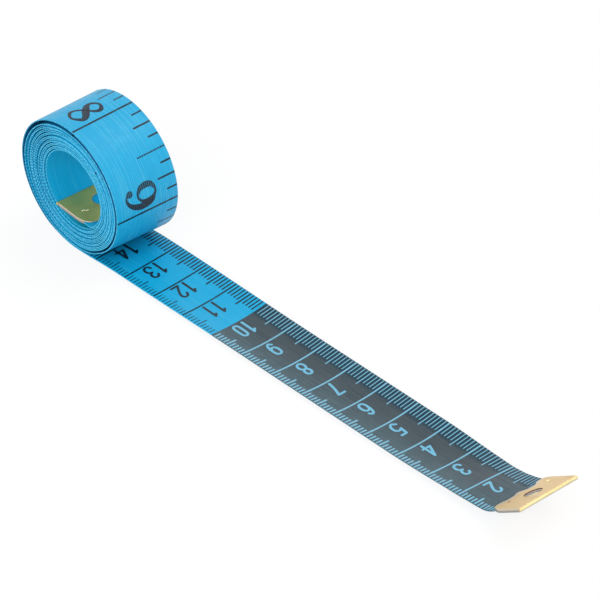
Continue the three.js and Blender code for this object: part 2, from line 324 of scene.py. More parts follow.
class TapeColours(bpy.types.PropertyGroup):
    """Colours of the tape measure."""

    cloth: colour("Cloth", "Blue of the coated cloth", (0.003, 0.37, 0.64))
    edge: colour("Edge", "Cut edge of the cloth", (0.09, 0.56, 0.80))
    edge_dark: colour("Edge threads", "Threads that show on the cut edge", (0.002, 0.15, 0.30))
    dark_edge: colour("Dark edge", "Cut edge beside the dark print", (0.045, 0.12, 0.16))
    raw_edge: colour("Raw edge", "Cut edge inside the outer tip", (0.46, 0.44, 0.46))
    streak: colour("Streaks", "Lengthwise threads that show through the coating", (0.035, 0.42, 0.67))
    dark: colour("Dark print", "Ground of the dark stretch", (0.056, 0.079, 0.092))
    # Painted light and shade on the dark print: its ground is lit lighter at the near edge and shaded darker
    # at the far edge.
    dark_near: colour("Near print", "Ground of the dark stretch at its near edge", (0.064, 0.112, 0.133))
    dark_far: colour("Far print", "Ground of the dark stretch at its far edge", (0.008, 0.044, 0.069))
    light_ink: colour("Light numbers", "Numbers on the dark stretch", (0.12, 0.39, 0.56))
    light_mark: colour("Light marks", "Ticks and lines on the dark stretch", (0.17, 0.42, 0.57))
    ink: colour("Ink", "Marks on the blue cloth", (0.002, 0.012, 0.024))
    bold_ink: colour("Bold ink", "Inch numbers", (0.012, 0.010, 0.014))
    metal: colour("Metal", "Plated sheet of the outer tip", (0.70, 0.51, 0.26))
    inner_metal: colour("Inner metal", "Plated sheet of the inner tip", (0.66, 0.58, 0.17))
    # Partly the cut edges' own greyer tone and partly painted shade: it is darker than the sheet also to
    # stand in for the shade on the tips' sides and on the fold's underside.
    metal_edge: colour("Metal edge", "Cut edges of the tips' sheet", (0.60, 0.53, 0.41))
    # Painted shade: the dark colour of the outer tip's hole wall and of its near crimp mark stands in for the
    # shade on them.
    tarnish: colour("Tarnish", "Rim of the outer tip's hole", (0.20, 0.125, 0.07))
    # Painted shade: the lower leaves' cut edges are darker to stand in for the shade under the tips.
    lower_edge: colour("Lower edge", "Cut edges of the tips' lower leaves", (0.34, 0.32, 0.29))
    # Partly real polish, set by its low roughness, and partly painted highlight: the fold's colour is
    # brighter than the sheet's.
    fold: colour("Fold", "Polished folds of the tips", (0.90, 0.77, 0.38))
    floor: colour("Floor", "Ground under the tape", (0.86, 0.86, 0.86))


class StageSizes(bpy.types.PropertyGroup):
    """Camera and light."""

    camera: FloatVectorProperty(
        name="Camera", description="Place of the camera", default=(0.73448, -0.59179, 0.71503), size=3,
        subtype="TRANSLATION", unit="LENGTH",
    )
    azimuth: angle("Azimuth", "Direction of the camera round the part, from +X", -39.01)
    elevation: angle("Elevation", "Height of the camera above the ground", 36.57)
    roll: angle("Roll", "Turn of the camera about its view", -3.53)
    lens: FloatProperty(name="Lens", description="Focal length in millimetres on 36 mm", default=326.5)
    key: FloatProperty(name="Key light", description="Power of the front light in watts", default=4.5)
    top: FloatProperty(name="Top light", description="Power of the light above in watts", default=1.8)
    back: FloatProperty(name="Back light", description="Power of the low light behind in watts", default=1.3)
    world: FloatProperty(name="Surround", description="Strength of the even surround", default=0.85)


class TapeMeasureSettings(bpy.types.PropertyGroup):
    """All sizes and colours of the tape measure."""

    band: PointerProperty(type=BandSizes)
    roll: PointerProperty(type=RollSizes)
    strip: PointerProperty(type=StripSizes)
    tip: PointerProperty(type=TipSizes)
    scale: PointerProperty(type=ScaleSizes)
    colours: PointerProperty(type=TapeColours)
    stage: PointerProperty(type=StageSizes)


def in_mm(group):
    """A group's values by name, with its lengths in millimetres."""
    found = {}
    for key, rna in group.bl_rna.properties.items():
        if key in ("rna_type", "name"):
            continue
        value = getattr(group, key)
        found[key] = value / MM if rna.unit == "LENGTH" else value
    return SimpleNamespace(**found)


def smooth(value, low, high):
    """Smoothstep: 0 below low, 1 above high, 3t^2 - 2t^3 between."""
    t = np.clip((value - low) / (high - low), 0, 1)
    return t * t * (3 - 2 * t)


class Tape:
    """The tape's middle line from the outer tip to the inner one, in the XZ plane, and points beside it."""

    def __init__(self, settings):
        self.band = in_mm(settings.band)
        self.roll = in_mm(settings.roll)
        self.strip = in_mm(settings.strip)
        self.tip = in_mm(settings.tip)
        self.scale = in_mm(settings.scale)
        self.axis_x = frame["joints"][0]["pos_m"][0] / MM - self.strip.foot
        self.flex = np.array([joint["pos_m"][0] for joint in frame["joints"]]) / MM - self.axis_x
        self.bend_end = self.strip.ground + self.strip.bend
        self.fold = self.bend_end + self.tip.entry + self.tip.length
        self.zero = self.fold - self.scale.zero_inset
        self.half = self.band.thickness / 2
        self.lay_out()

    def strip_line(self, u):
        """The free strip at a distance u from the roll: down from the roll to the ground, then a slope that
        grows as a power of the distance along the bend, a quick turn into the tip's slope, and straight on.
        The slope's cosine and sine are summed along the strip."""
        strip = self.strip
        fine = np.linspace(0, self.fold, LINE_SAMPLES)
        slope = strip.bend_lift * np.clip((fine - strip.ground) / strip.bend, 0, 1) ** BEND_POWER
        turned = smooth(fine, self.bend_end - strip.turn, self.bend_end)
        slope = slope + (strip.lift - strip.bend_lift) * turned
        middle = (slope[1:] + slope[:-1]) / 2
        x = np.concatenate([[0], np.cumsum(np.cos(middle))]) * fine[1]
        z = np.concatenate([[0], np.cumsum(np.sin(middle))]) * fine[1]
        above = strip.rise * (1 - smooth(u, RISE_START, strip.rise_length))
        above = above - (strip.rise - self.roll.height) * (1 - smooth(u, 0, FOOT_RISE))
        return np.interp(u, fine, x), np.interp(u, fine, z) + above + self.half

    def spiral_radius(self, wound):
        """Middle radius at a wound angle: the outer radius less a step where the first turn ends, less an
        even pitch for each further turn, less a slack on one side that the first two turns leave, less a
        slack on the loose side that grows evenly with the turns, less a wave that bunches the turns in
        pairs there."""
        roll = self.roll
        turns = wound / FULL_TURN
        further = np.maximum(turns - 1, 0)
        first_side = (1 + np.cos(wound - roll.first_side)) / 2
        loose = (1 + np.cos(wound - roll.loose_side)) / 2
        wave = np.sin(FULL_TURN * (turns / 2 + BUNCH_PHASE))
        step = roll.first_gap * smooth(turns, *FIRST_STEP_TURNS)
        first = roll.first_slack * smooth(turns, *FIRST_SLACK_TURNS) * first_side
        even = roll.even_slack * further / roll.turns * loose
        bunch = roll.bunching * loose**2 * smooth(turns, 1, 2) * wave
        return roll.radius - self.half - roll.pitch * further - step - first - even - bunch

    def inner_end(self):
        """The arc on which the tape leaves the spiral, tangent to the chord on which the inner tip lies. The
        chord's place comes from the frame; the arc's start and radius depend on each other and settle."""
        roll = self.roll
        low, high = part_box("inner_end_tip")
        middle = (np.array(low) + np.array(high)) / 2 / MM
        tip_angle = roll.turns * FULL_TURN + roll.tip_angle
        reach_x = middle[0] + roll.tip_shift - self.axis_x
        reach_z = middle[2] - roll.tip_sag - roll.height - roll.radius
        depth = -reach_x * math.sin(tip_angle) - reach_z * math.cos(tip_angle)
        aside = reach_x * math.cos(tip_angle) - reach_z * math.sin(tip_angle)
        half_run = self.tip.length / 2 + self.tip.entry + aside
        turn = math.pi / 4
        for _ in range(SETTLE_ROUNDS):
            start = self.spiral_radius(tip_angle - turn)
            bend = (start**2 - half_run**2 - depth**2) / (2 * (start - depth))
            turn = math.atan2(half_run, depth - bend)
        return tip_angle, turn, bend, start

    def lay_out(self):
        """Lays the middle line: the strip from its fold to the roll, the spiral, the arc and the chord."""
        tip_angle, turn, bend, start = self.inner_end()
        leave = tip_angle - turn
        strip = np.linspace(self.fold, 0, math.ceil(self.fold / STRIP_STEP) + 1)
        strip_x, strip_z = self.strip_line(strip)
        wound = np.linspace(0, leave, math.ceil(leave / FULL_TURN * STEPS_PER_TURN) + 1)[1:]
        radius = self.spiral_radius(wound)
        curl = np.linspace(leave, tip_angle, BEND_STEPS + 1)[1:]
        curl_x = -(start - bend) * math.sin(leave) - bend * np.sin(curl)
        curl_z = -(start - bend) * math.cos(leave) - bend * np.cos(curl)
        run = np.linspace(0, self.tip.entry + self.tip.length, BEND_STEPS)[1:]
        chord_x = curl_x[-1] - run * math.cos(tip_angle)
        chord_z = curl_z[-1] + run * math.sin(tip_angle)
        centre = self.roll.radius + self.roll.height
        self.x = np.concatenate([strip_x, -radius * np.sin(wound), curl_x, chord_x])
        self.z = np.concatenate([strip_z, centre - radius * np.cos(wound), centre + curl_z, centre + chord_z])
        gone = np.concatenate([[0], np.cumsum(np.hypot(np.diff(self.x), np.diff(self.z)))])
        s = gone - self.scale.zero_inset
        self.s = s + self.roll.path_slack * smooth(s, self.zero, self.zero + PATH_SLACK_LENGTH)
        along_x, along_z = np.gradient(self.x, self.s), np.gradient(self.z, self.s)
        size = np.hypot(along_x, along_z)
        self.normal_x, self.normal_z = along_z / size, -along_x / size
        self.end = self.s[-1]

    def cup(self, s):
        """Rise of the strip's edges: nothing at the roll and at the tip, and full between the two ramps, less
        a crown where the strip bends up."""
        u = self.zero - s
        band, end = self.band, self.bend_end
        fade = smooth(u, end - band.cup_out, end - band.cup_out * CUP_FLAT)
        risen = smooth(u, end - CROWN_RISE[0], end - CROWN_RISE[1])
        fallen = smooth(u, end - CROWN_FALL[0], end - CROWN_FALL[1])
        return band.cup * smooth(u, 0, band.cup_in) * (1 - fade) - band.crown * risen * (1 - fallen)

    def twist(self, s):
        """Rise of the far edge: the roll's tilt, which fades along the strip, and a twist back before the
        tip, of which the tip keeps a share."""
        u = self.zero - s
        end = self.bend_end
        back = smooth(u, end - TWIST_RISE[0], end - TWIST_RISE[1])
        kept = 1 - TWIST_LOSS * smooth(u, end - TWIST_RISE[1], end)
        return self.roll.tilt * (1 - smooth(u, *TILT_FADE)) - self.strip.twist * back * kept

    def point(self, s, across, height):
        """A point beside the middle line: the line at s, plus the height and the cup's parabola along the
        normal, which is towards the centimetre face. Off the ground, the winding leans, and its inner turns
        wander along the axis."""
        share = 2 * across / self.band.width
        raised = height + self.cup(s) * share**2
        x = np.interp(s, self.s, self.x) + np.interp(s, self.s, self.normal_x) * raised
        z = np.interp(s, self.s, self.z) + np.interp(s, self.s, self.normal_z) * raised
        wound = smooth(s, self.zero, self.zero + LEAN_START)
        x, z = self.lean(x, z + self.twist(s) * share, share, wound)
        turns = (s - self.zero) / (FULL_TURN * MEAN_RADIUS)
        slow, quick = (FULL_TURN * rate * turns for rate in WANDER_RATES)
        drift = np.sin(slow + 1) + WANDER_SECOND * np.sin(quick)
        across = across + self.roll.wander * drift * smooth(turns, *WANDER_TURNS)
        x, across, z = np.broadcast_arrays(x + self.axis_x, across, z)
        return np.stack([x, across, z], -1)

    def lean(self, x, z, share, wound=1.0):
        """Shifts points of the roll: by a lean, and a skew that is opposite on the two end faces, which grow
        above its foot, and by a further skew in proportion to the height."""
        roll = self.roll
        grown = wound * smooth(z - roll.height, 0, roll.foot_height)
        high = wound * share * z / (2 * roll.radius)
        return x + grown * (roll.lean + roll.skew * share) + high * roll.cone_x, z + high * roll.cone_z


def grid_faces(rows, columns, closed_rows):
    """Quads over a grid whose columns close into a ring, and whose rows may close too; an open grid also
    gets a face over each end ring."""
    index = np.arange(rows * columns).reshape(rows, columns)
    lower = index if closed_rows else index[:-1]
    upper = np.roll(index, -1, 0) if closed_rows else index[1:]
    quads = np.stack([lower, upper, np.roll(upper, -1, 1), np.roll(lower, -1, 1)], -1).reshape(-1, 4)
    ends = [] if closed_rows else [index[0].tolist(), index[-1][::-1].tolist()]
    return quads, ends


def signed_volume(points, quads):
    """Volume inside closed quads, negative where they face inwards; open ends count as small."""
    a, b, c, d = (points[quads[:, i]] - points.mean(0) for i in range(4))
    return (np.cross(a, b) * c).sum() + (np.cross(a, c) * d).sum()


class Solid:
    """Grids collected into one mesh, with a material index for each column or face, and values for each
    point."""

    def __init__(self):
        self.points, self.faces, self.zones = [], [], []
        self.count = 0
        self.maps = {}

    def add(self, points, zones=0, closed_rows=False, **maps):
        """Adds a grid of points of shape (rows, columns, 3), with its faces turned outwards."""
        rows, columns = points.shape[:2]
        flat = points.reshape(-1, 3)
        quads, ends = grid_faces(rows, columns, closed_rows)
        inside_out = signed_volume(flat, quads) < 0
        spans = rows if closed_rows else rows - 1
        zone = np.broadcast_to(zones, (spans, columns)).ravel()
        faces = (quads[:, ::-1] if inside_out else quads) + self.count
        self.faces += faces.tolist()
        self.zones += zone.tolist()
        for end in ends:
            corners = [corner + self.count for corner in end]
            self.faces.append(corners[::-1] if inside_out else corners)
            self.zones.append(int(zone[0]))
        self.points.append(flat)
        for name, values in maps.items():
            pairs = np.stack(np.broadcast_arrays(*values), -1).reshape(-1, 2)
            self.maps.setdefault(name, []).append(pairs)
        self.count += len(flat)

    def finished(self, name, materials, sharp=35):
        """The mesh as an object in the scene, in metres, smooth but for its sharp edges."""
        mesh = bpy.data.meshes.new(name)
        mesh.from_pydata((np.concatenate(self.points) * MM).tolist(), [], self.faces)
        mesh.polygons.foreach_set("material_index", np.array(self.zones, np.int32))
        mesh.polygons.foreach_set("use_smooth", np.ones(len(mesh.polygons), bool))
        corner = np.empty(len(mesh.loops), np.int32)
        mesh.loops.foreach_get("vertex_index", corner)
        for map_name, values in self.maps.items():
            layer = mesh.uv_layers.new(name=map_name, do_init=False)
            layer.uv.foreach_set("vector", np.concatenate(values)[corner].astype(np.float32).ravel())
        mesh.set_sharp_from_angle(angle=math.radians(sharp))
        for material in materials:
            mesh.materials.append(material)
        mesh.validate()
        mesh.update()
        obj = bpy.data.objects.new(name, mesh)
        bpy.context.scene.collection.objects.link(obj)
        return obj


def band_outline(band):
    """The tape's outline across, as places across, heights and the zone of each side: flat faces between
    rounded edges."""
    flat = np.linspace(-1, 1, BAND_POINTS) * (band.width / 2 - band.rounding)
    turn = np.linspace(0, math.pi / 2, EDGE_POINTS + 1)
    out = band.width / 2 - band.rounding * (1 - np.sin(turn[1:]))
    up = band.thickness / 2 - band.rounding * (1 - np.cos(turn[1:]))
    across = np.concatenate([flat, out, out[::-1], flat[::-1], -out, -out[::-1]])
    top = np.full(BAND_POINTS, band.thickness / 2)
    height = np.concatenate([top, up, -up[::-1], -top, -up, up[::-1]])
    zones = np.full(len(across), CUT_EDGE)
    zones[: BAND_POINTS - 1] = CM_FACE
    below = BAND_POINTS + 2 * EDGE_POINTS
    zones[below : below + BAND_POINTS - 1] = INCH_FACE
    return across, height, zones


def add_band(solid, tape, start, end):
    """A stretch of tape between two places on the scale: the outline carried along the middle line."""
    across, height, zones = band_outline(tape.band)
    inside = tape.s[(tape.s > start + STRIP_STEP / 4) & (tape.s < end - STRIP_STEP / 4)]
    s = np.concatenate([[start], inside, [end]])[:, None]
    points = tape.point(s, across[None], height[None])
    solid.add(points, zones, **{FACE_MAP: (s, across[None]), EDGE_MAP: (s, height[None])})


def plate_outline(turn, half_width, back, front, square):
    """Distance from the hole's middle to a rounded rectangle in a direction: a p-norm of the two reaches,
    with rounder corners at the back, and most so at the near one."""
    reach = np.where(np.cos(turn) < 0, back, front)
    power = np.where(np.cos(turn) < 0, np.where(np.sin(turn) < 0, square[0], square[1]), square[2])
    ratio = np.abs(np.cos(turn) / reach) ** power + np.abs(np.sin(turn) / half_width) ** power
    return ratio ** (-1 / power)


def holed_plate(hole, half_width, back, front, top, bottom, square, rounding):
    """A flat plate round a hole: rings from the hole to the outline, out along the top and back underneath.
    Gives places along and across from the hole's middle and heights, as grids closed both ways."""
    turn = np.linspace(0, FULL_TURN, LEAF_STEPS, endpoint=False)[:, None]
    edge = plate_outline(turn, half_width, back, front, square)
    share = np.linspace(0, 1, LEAF_RINGS)[None] ** RING_POWER
    inner = hole + rounding / 2
    outer = edge - rounding / 2
    rings = inner + (outer - inner) * share
    rim = np.full_like(edge, hole)
    radius = np.concatenate([rings, edge, edge, rings[:, ::-1], rim, rim], 1)
    lip = min(rounding, (top - bottom) / 3)
    flat = np.ones(LEAF_RINGS)
    height = np.concatenate([flat * top, [top - lip, bottom + lip], flat * bottom, [bottom + lip, top - lip]])
    x = radius * np.cos(turn)
    y = radius * np.sin(turn)
    return x, y, np.broadcast_to(height[None], x.shape)


def tip_frame(tape, inner):
    """A tip's frame: the fold's end on the middle line, the direction from the open edge to the fold, and the
    direction to the centimetre face."""
    s = tape.end if inner else tape.s[0]
    place = np.array([np.interp(s, tape.s, tape.x), np.interp(s, tape.s, tape.z)])
    face = np.array([np.interp(s, tape.s, tape.normal_x), np.interp(s, tape.s, tape.normal_z)])
    along = np.array([-face[1], face[0]]) if inner else np.array([face[1], -face[0]])
    return place, along, face


def in_tip_frame(tape, inner, x, y, z):
    """Points of a tip's frame in the part's frame, twisted with the tape, and with the winding's skew on the
    inner tip."""
    place, along, face = tip_frame(tape, inner)
    share = 2 * y / tape.band.width
    px = place[0] + along[0] * x + face[0] * z
    pz = place[1] + along[1] * x + face[1] * z + tape.twist(tape.end if inner else tape.s[0]) * share
    if inner:
        px, pz = tape.lean(px, pz, share)
    return np.stack(np.broadcast_arrays(px + tape.axis_x, y, pz), -1)


def hole_place(tip, inner):
    """Distance of the middle of a tip's hole from its fold."""
    return tip.length / 2 + (0 if inner else tip.hole_shift)


def leaf_heights(tape):
    """Heights of a leaf's inner and outer side above the middle of the tape."""
    pocket = tape.half + tape.tip.clearance
    return pocket, pocket + tape.tip.sheet


def add_tape_end(solid, tape, inner):
    """The tape's end between the leaves of a tip: a plate round a hole wider than the tip's at the outer end,
    and with no more than a pinhole at the inner one, where the cloth shows through the tip."""
    tip, band = tape.tip, tape.band
    hole_at = hole_place(tip, inner)
    back = tip.length - hole_at - TIP_GRIP
    front = hole_at - tip.sheet - tip.clearance
    half_width = band.width / 2 - END_MARGIN
    hole = PINHOLE if inner else tip.hole / 2 + HOLE_CLEARANCE
    x, y, z = holed_plate(hole, half_width, back, front, tape.half, -tape.half, SQUARE_CORNERS, END_LIP)
    zones = np.full(x.shape[1], CUT_EDGE)
    zones[: LEAF_RINGS - 1] = CM_FACE
    zones[LEAF_RINGS + 2 : 2 * LEAF_RINGS + 1] = INCH_FACE
    points = in_tip_frame(tape, inner, x - hole_at, y, z)
    start = tape.end - hole_at if inner else tape.s[0] + hole_at
    s = start + x if inner else start - x
    solid.add(points, zones, True, **{FACE_MAP: (s, y), EDGE_MAP: (s, z)})


def open_lobes(y):
    """Reach of the open edge at a place across, in wave heights: a shelf at the near side, a bell in the
    middle, a hollow beside it and a shelf at the far side, as smooth steps and a Gaussian."""
    near_shelf = 0.6 - 0.6 * smooth(y, -5.2, -3)
    bell = 1.1 * np.exp(-(((y - 0.2) / 1.1) ** 2))
    hollow = 0.7 * smooth(y, 0.8, 2.2) * (1 - smooth(y, 3.8, 5.8))
    far_shelf = 1.2 * smooth(y, 4, 6.2)
    return near_shelf + bell + 0.2 - hollow + far_shelf


def add_leaf(solid, tape, inner, side):
    """The upper or lower leaf of a tip: a plate round the hole, whose open edge has lobes and is crimped onto
    the tape, and whose sides are turned down to the tape's middle. The near corner of the outer tip's upper
    leaf is raised. Each is a smooth step along the leaf, across it or both."""
    tip = tape.tip
    pocket, outside = leaf_heights(tape)
    hole_at = hole_place(tip, inner)
    back, front = tip.length - hole_at, hole_at - outside
    half_width = tip.width / 2
    x, y, z = holed_plate(tip.hole / 2, half_width, back, front, outside, pocket, LEAF_CORNERS, LEAF_LIP)
    beside = smooth(np.abs(y), half_width - SIDE_TURN[0], half_width - SIDE_TURN[1])
    beside = beside * smooth(x, SIDE_START[0] - back, SIDE_START[1] - back)
    z = z - (pocket - SIDE_GAP) * beside * (outside - z) / tip.sheet
    if side == 1 and not inner:
        raised = smooth(-x, CORNER_ALONG, back) * smooth(-y, *CORNER_ACROSS)
        z = z * (1 + tip.corner / outside * raised)
    z = z - tip.press * smooth(-x, back - PRESS_LENGTH, back)
    x = x - tip.wave * open_lobes(y) * smooth(-x, back - LOBE_LENGTH, back)
    zones = np.full(x.shape, SHEET)
    # The lower leaf's outer cut edge takes the darker lower-edge colour, which is painted shade.
    zones[:, LEAF_RINGS - 1 : LEAF_RINGS + 2] = EDGE if side == 1 else LOWER
    # On the outer tip the upper leaf's hole wall takes the dark rim colour, which is painted shade.
    zones[:, 2 * LEAF_RINGS + 1 :] = RIM if side == 1 else EDGE
    open_edge = np.cos(np.linspace(0, FULL_TURN, LEAF_STEPS, endpoint=False)) < OPEN_EDGE_COSINE
    zones[open_edge, LEAF_RINGS - 4 : LEAF_RINGS - 1] = SHEET if inner else EDGE
    solid.add(in_tip_frame(tape, inner, x - hole_at, y, side * z), zones, True)


def add_crimp_marks(solid, tape, inner):
    """The crimp marks of a tip: low domes on the upper leaf, which fall with the square of the distance from
    their middle."""
    tip = tape.tip
    _, outside = leaf_heights(tape)
    root = tip.sheet / 4
    plate = holed_plate(PINHOLE, tip.mark, tip.mark, tip.mark, 1, 0, ROUND_CORNERS, MARK_LIP)
    x, y, z = (part[::MARK_STRIDE] for part in plate)
    dome = tip.mark_height * (1 - (x**2 + y**2) / tip.mark**2)
    z = outside - root + z * (root + dome)
    for mark_x, mark_y, zone in INNER_MARKS if inner else OUTER_MARKS:
        along = x + mark_x - hole_place(tip, inner)
        solid.add(in_tip_frame(tape, inner, along, y + mark_y, z), zone, True)


def add_fold(solid, tape, inner):
    """The fold of a tip: half a tube between two half circles, whose inner wall closes towards its axis at
    both ends."""
    pocket, outside = leaf_heights(tape)
    half_width = tape.tip.width / 2
    turn = np.linspace(math.pi / 2, -math.pi / 2, FOLD_STEPS + 1)
    bend_x = np.concatenate([outside * np.cos(turn), pocket * np.cos(turn[::-1])])
    bend_z = np.concatenate([outside * np.sin(turn), pocket * np.sin(turn[::-1])])
    rows = np.array(FOLD_ENDS)
    across = np.concatenate([rows[:, 0] - half_width, half_width - rows[::-1, 0]])[:, None]
    share = np.repeat(np.concatenate([rows, rows[::-1]])[:, 1:], FOLD_STEPS + 1, 1)
    # Bright band of painted highlight round the fold, and painted shade on its underside.
    outer_zones = np.where(turn < FOLD_UNDERSIDE, EDGE, np.where(turn < FOLD_TOP, FOLD, SHEET))
    zones = np.concatenate([outer_zones, np.full(FOLD_STEPS + 1, SHEET)])
    solid.add(in_tip_frame(tape, inner, bend_x[None] * share - outside, across, bend_z[None] * share), zones)


def half_turned(strokes, width, height):
    """A digit's strokes turned by half a turn in a box, as a nine is a six."""
    return [
        (kind, *((width - x, height - y, *wide) for x, y, *wide in controls)) for kind, *controls in strokes
    ]


# Rounded numbers of the centimetre scale, as strokes through points in millimetres. A stroke whose first word
# is "ring" closes on itself, a "line" joins its points with straight lines, and a "dot" has one point.
ROUND_DIGITS = {
    "0": [
        ("ring", (0.8, 4.45), (0.32, 4.2), (0.12, 3.4), (0.12, 1.2), (0.32, 0.4), (0.8, 0.15), (1.28, 0.4),
         (1.48, 1.2), (1.48, 3.4), (1.28, 4.2)),
    ],
    "1": [("line", (1.1, 0.1), (1.1, 4.5)), ("line", (1.1, 4.5), (0.5, 3.75))],
    "2": [
        ("curve", (0.2, 3.5), (0.5, 4.25), (1.05, 4.5), (1.6, 4.2), (1.75, 3.4), (1.3, 2.2), (0.15, 0.15)),
        ("line", (0.15, 0.15), (1.9, 0.15)),
    ],
    "3": [
        ("curve", (0.2, 3.75), (0.5, 4.35), (1.05, 4.5), (1.6, 4.15), (1.7, 3.4), (1.4, 2.7), (0.85, 2.45)),
        ("curve", (0.85, 2.45), (1.5, 2.2), (1.82, 1.4), (1.6, 0.5), (1, 0.1), (0.4, 0.35), (0.12, 1)),
    ],
    "4": [
        ("line", (1.4, 0.1), (1.4, 4.5)),
        ("line", (1.4, 4.5), (0.05, 1.3)),
        ("line", (0.05, 1.3), (2, 1.3)),
    ],
    "5": [
        ("line", (1.75, 4.45), (0.4, 4.45)),
        ("line", (0.4, 4.45), (0.25, 2.45)),
        ("curve", (0.25, 2.45), (0.7, 2.8), (1.2, 2.8), (1.7, 2.35), (1.82, 1.4), (1.5, 0.45), (0.9, 0.1),
         (0.12, 0.7)),
    ],
    "6": [
        ("ring", (1, 2.95), (0.4, 2.5), (0.2, 1.5), (0.4, 0.5), (1, 0.12), (1.6, 0.5), (1.8, 1.5),
         (1.6, 2.5)),
        ("curve", (0.2, 1.5), (0.26, 2.9), (0.55, 4), (1.1, 4.45), (1.65, 3.9)),
    ],
    "7": [("line", (0.15, 4.45), (1.85, 4.45)), ("curve", (1.85, 4.45), (1.2, 2.5), (0.75, 0.1))],
    "8": [
        ("ring", (1, 4.48), (0.45, 4.15), (0.3, 3.45), (0.5, 2.75), (1, 2.45), (1.5, 2.75), (1.7, 3.45),
         (1.55, 4.15)),
        ("ring", (1, 2.45), (0.4, 2.1), (0.18, 1.3), (0.4, 0.5), (1, 0.12), (1.6, 0.5), (1.82, 1.3),
         (1.6, 2.1)),
    ],
}
ROUND_DIGITS["9"] = half_turned(ROUND_DIGITS["6"], 2, 4.6)

# Bold numbers of the inch scale: the third value of a point is the stroke's width there.
BOLD_DIGITS = {
    "0": [("ring", (2.9, 8.2, 0.45), (1.25, 6.9, 1.2), (0.85, 4.2, 1.6), (1.25, 1.6, 1.2), (2.9, 0.25, 0.45),
           (4.55, 1.6, 1.2), (4.95, 4.2, 1.6), (4.55, 6.9, 1.2))],
    "1": [("line", (3, 0.4, 1.6), (3, 7.7, 1.6)),
          ("curve", (3.4, 8.2, 0.6), (2.4, 7.4, 0.8), (1.2, 6.9, 0.4)),
          ("line", (1.3, 0.25, 0.45), (4.7, 0.25, 0.45))],
    "2": [("dot", (1.4, 6.5, 1.5)),
          ("curve", (0.95, 7, 0.5), (2.6, 8.2, 0.5), (4.4, 7.3, 1.2), (4.6, 5.7, 1.5), (2.9, 3.3, 0.9),
           (0.9, 1, 0.5)),
          ("curve", (0.7, 0.6, 0.5), (1.9, 1, 1.2), (3.7, 0.65, 1.2), (5.1, 1.1, 0.6), (5.4, 2.4, 0.4))],
    "3": [("dot", (1.35, 6.8, 1.4)),
          ("curve", (0.9, 7.2, 0.45), (2.6, 8.2, 0.45), (4.2, 7.2, 1.2), (4.2, 5.7, 1), (2.5, 4.6, 0.45)),
          ("curve", (2.5, 4.6, 0.45), (4.3, 4, 1), (4.8, 2.4, 1.5), (4.1, 0.9, 1), (2.5, 0.25, 0.45),
           (0.95, 1.1, 0.5)),
          ("dot", (1.3, 1.6, 1.5))],
    "4": [("line", (3.9, 0.4, 1.5), (3.9, 7.6, 1.5)), ("line", (3.7, 8.1, 0.5), (0.5, 2.6, 0.5)),
          ("line", (0.5, 2.6, 0.5), (5.6, 2.6, 0.5)), ("line", (2.6, 0.25, 0.45), (5.2, 0.25, 0.45))],
    "5": [("curve", (1.3, 7.8, 0.9), (3.1, 7.5, 1.2), (4.9, 8, 0.6)),
          ("line", (1.2, 8, 0.45), (1.1, 4.4, 0.4)),
          ("curve", (1.1, 4.4, 0.4), (2.8, 5.2, 0.6), (4.5, 4.4, 1.2), (4.9, 2.6, 1.5), (4.1, 0.9, 1.1),
           (2.5, 0.25, 0.45), (0.95, 1.1, 0.5)),
          ("dot", (1.3, 1.6, 1.5))],
    "6": [("ring", (3.35, 0.3, 0.6), (4.95, 1.1, 1.25), (5.4, 2.6, 1.55), (4.95, 4.3, 1.25),
           (3.45, 5.1, 0.55), (2.1, 4.3, 0.7), (1.45, 2.6, 1.3), (2.1, 0.9, 0.9)),
          ("curve", (2.1, 0.75, 0.8), (1.1, 1.6, 1.4), (0.7, 3.3, 1.7), (0.85, 5.2, 1.6), (1.7, 7, 1.15),
           (2.9, 8, 0.75), (4, 8.2, 0.55), (4.9, 7.7, 0.6)),
          ("dot", (4.8, 7.15, 1.7))],
    "7": [("curve", (0.5, 7.3, 0.5), (0.9, 8, 0.7), (2.3, 7.6, 1.2), (4, 7.7, 1), (5.4, 8.2, 0.5)),
          ("curve", (5.3, 8.1, 0.5), (3.7, 5.2, 0.7), (2.6, 2.6, 1.3), (2.4, 0.7, 1.5))],
    "8": [("ring", (3.1, 8.2, 0.6), (1.3, 7.3, 0.95), (1.3, 6, 1.35), (2.9, 4.5, 1.8), (4.85, 3, 1.6),
           (5.3, 1.7, 1.2), (3.15, 0.3, 0.6), (0.7, 1.7, 0.9), (1.2, 3.3, 0.75), (3, 4.6, 0.6),
           (4.7, 5.8, 0.95), (4.95, 7.2, 1.1))],
}
BOLD_DIGITS["9"] = half_turned(BOLD_DIGITS["6"], 6.2, 8.5)


def stroke_line(kind, controls):
    """Points and widths along a stroke: straight runs, or a Catmull-Rom curve through the controls."""
    c = np.array([(*p, ROUND_STROKE)[:3] for p in controls], float)
    t = np.linspace(0, 1, STROKE_STEPS, endpoint=False)[None, :, None]
    if kind == "dot":
        c = np.concatenate([c, c + (DOT_LENGTH, 0, 0)])
    if kind in ("line", "dot"):
        runs = c[:-1, None] + (c[1:] - c[:-1])[:, None] * t
        return np.concatenate([runs.reshape(-1, 3), c[-1:]])
    if kind == "ring":
        p0, p1, p2, p3 = (np.roll(c, 1 - i, 0)[:, None] for i in range(4))
    else:
        c = np.concatenate([2 * c[:1] - c[1:2], c, 2 * c[-1:] - c[-2:-1]])
        p0, p1, p2, p3 = (c[i : len(c) - 3 + i, None] for i in range(4))
    curve = p1 + 0.5 * t * (
        p2 - p0 + t * (2 * p0 - 5 * p1 + 4 * p2 - p3 + t * (3 * (p1 - p2) + p3 - p0))
    )
    curve = curve.reshape(-1, 3)
    return curve if kind == "ring" else np.concatenate([curve, c[-2:-1]])


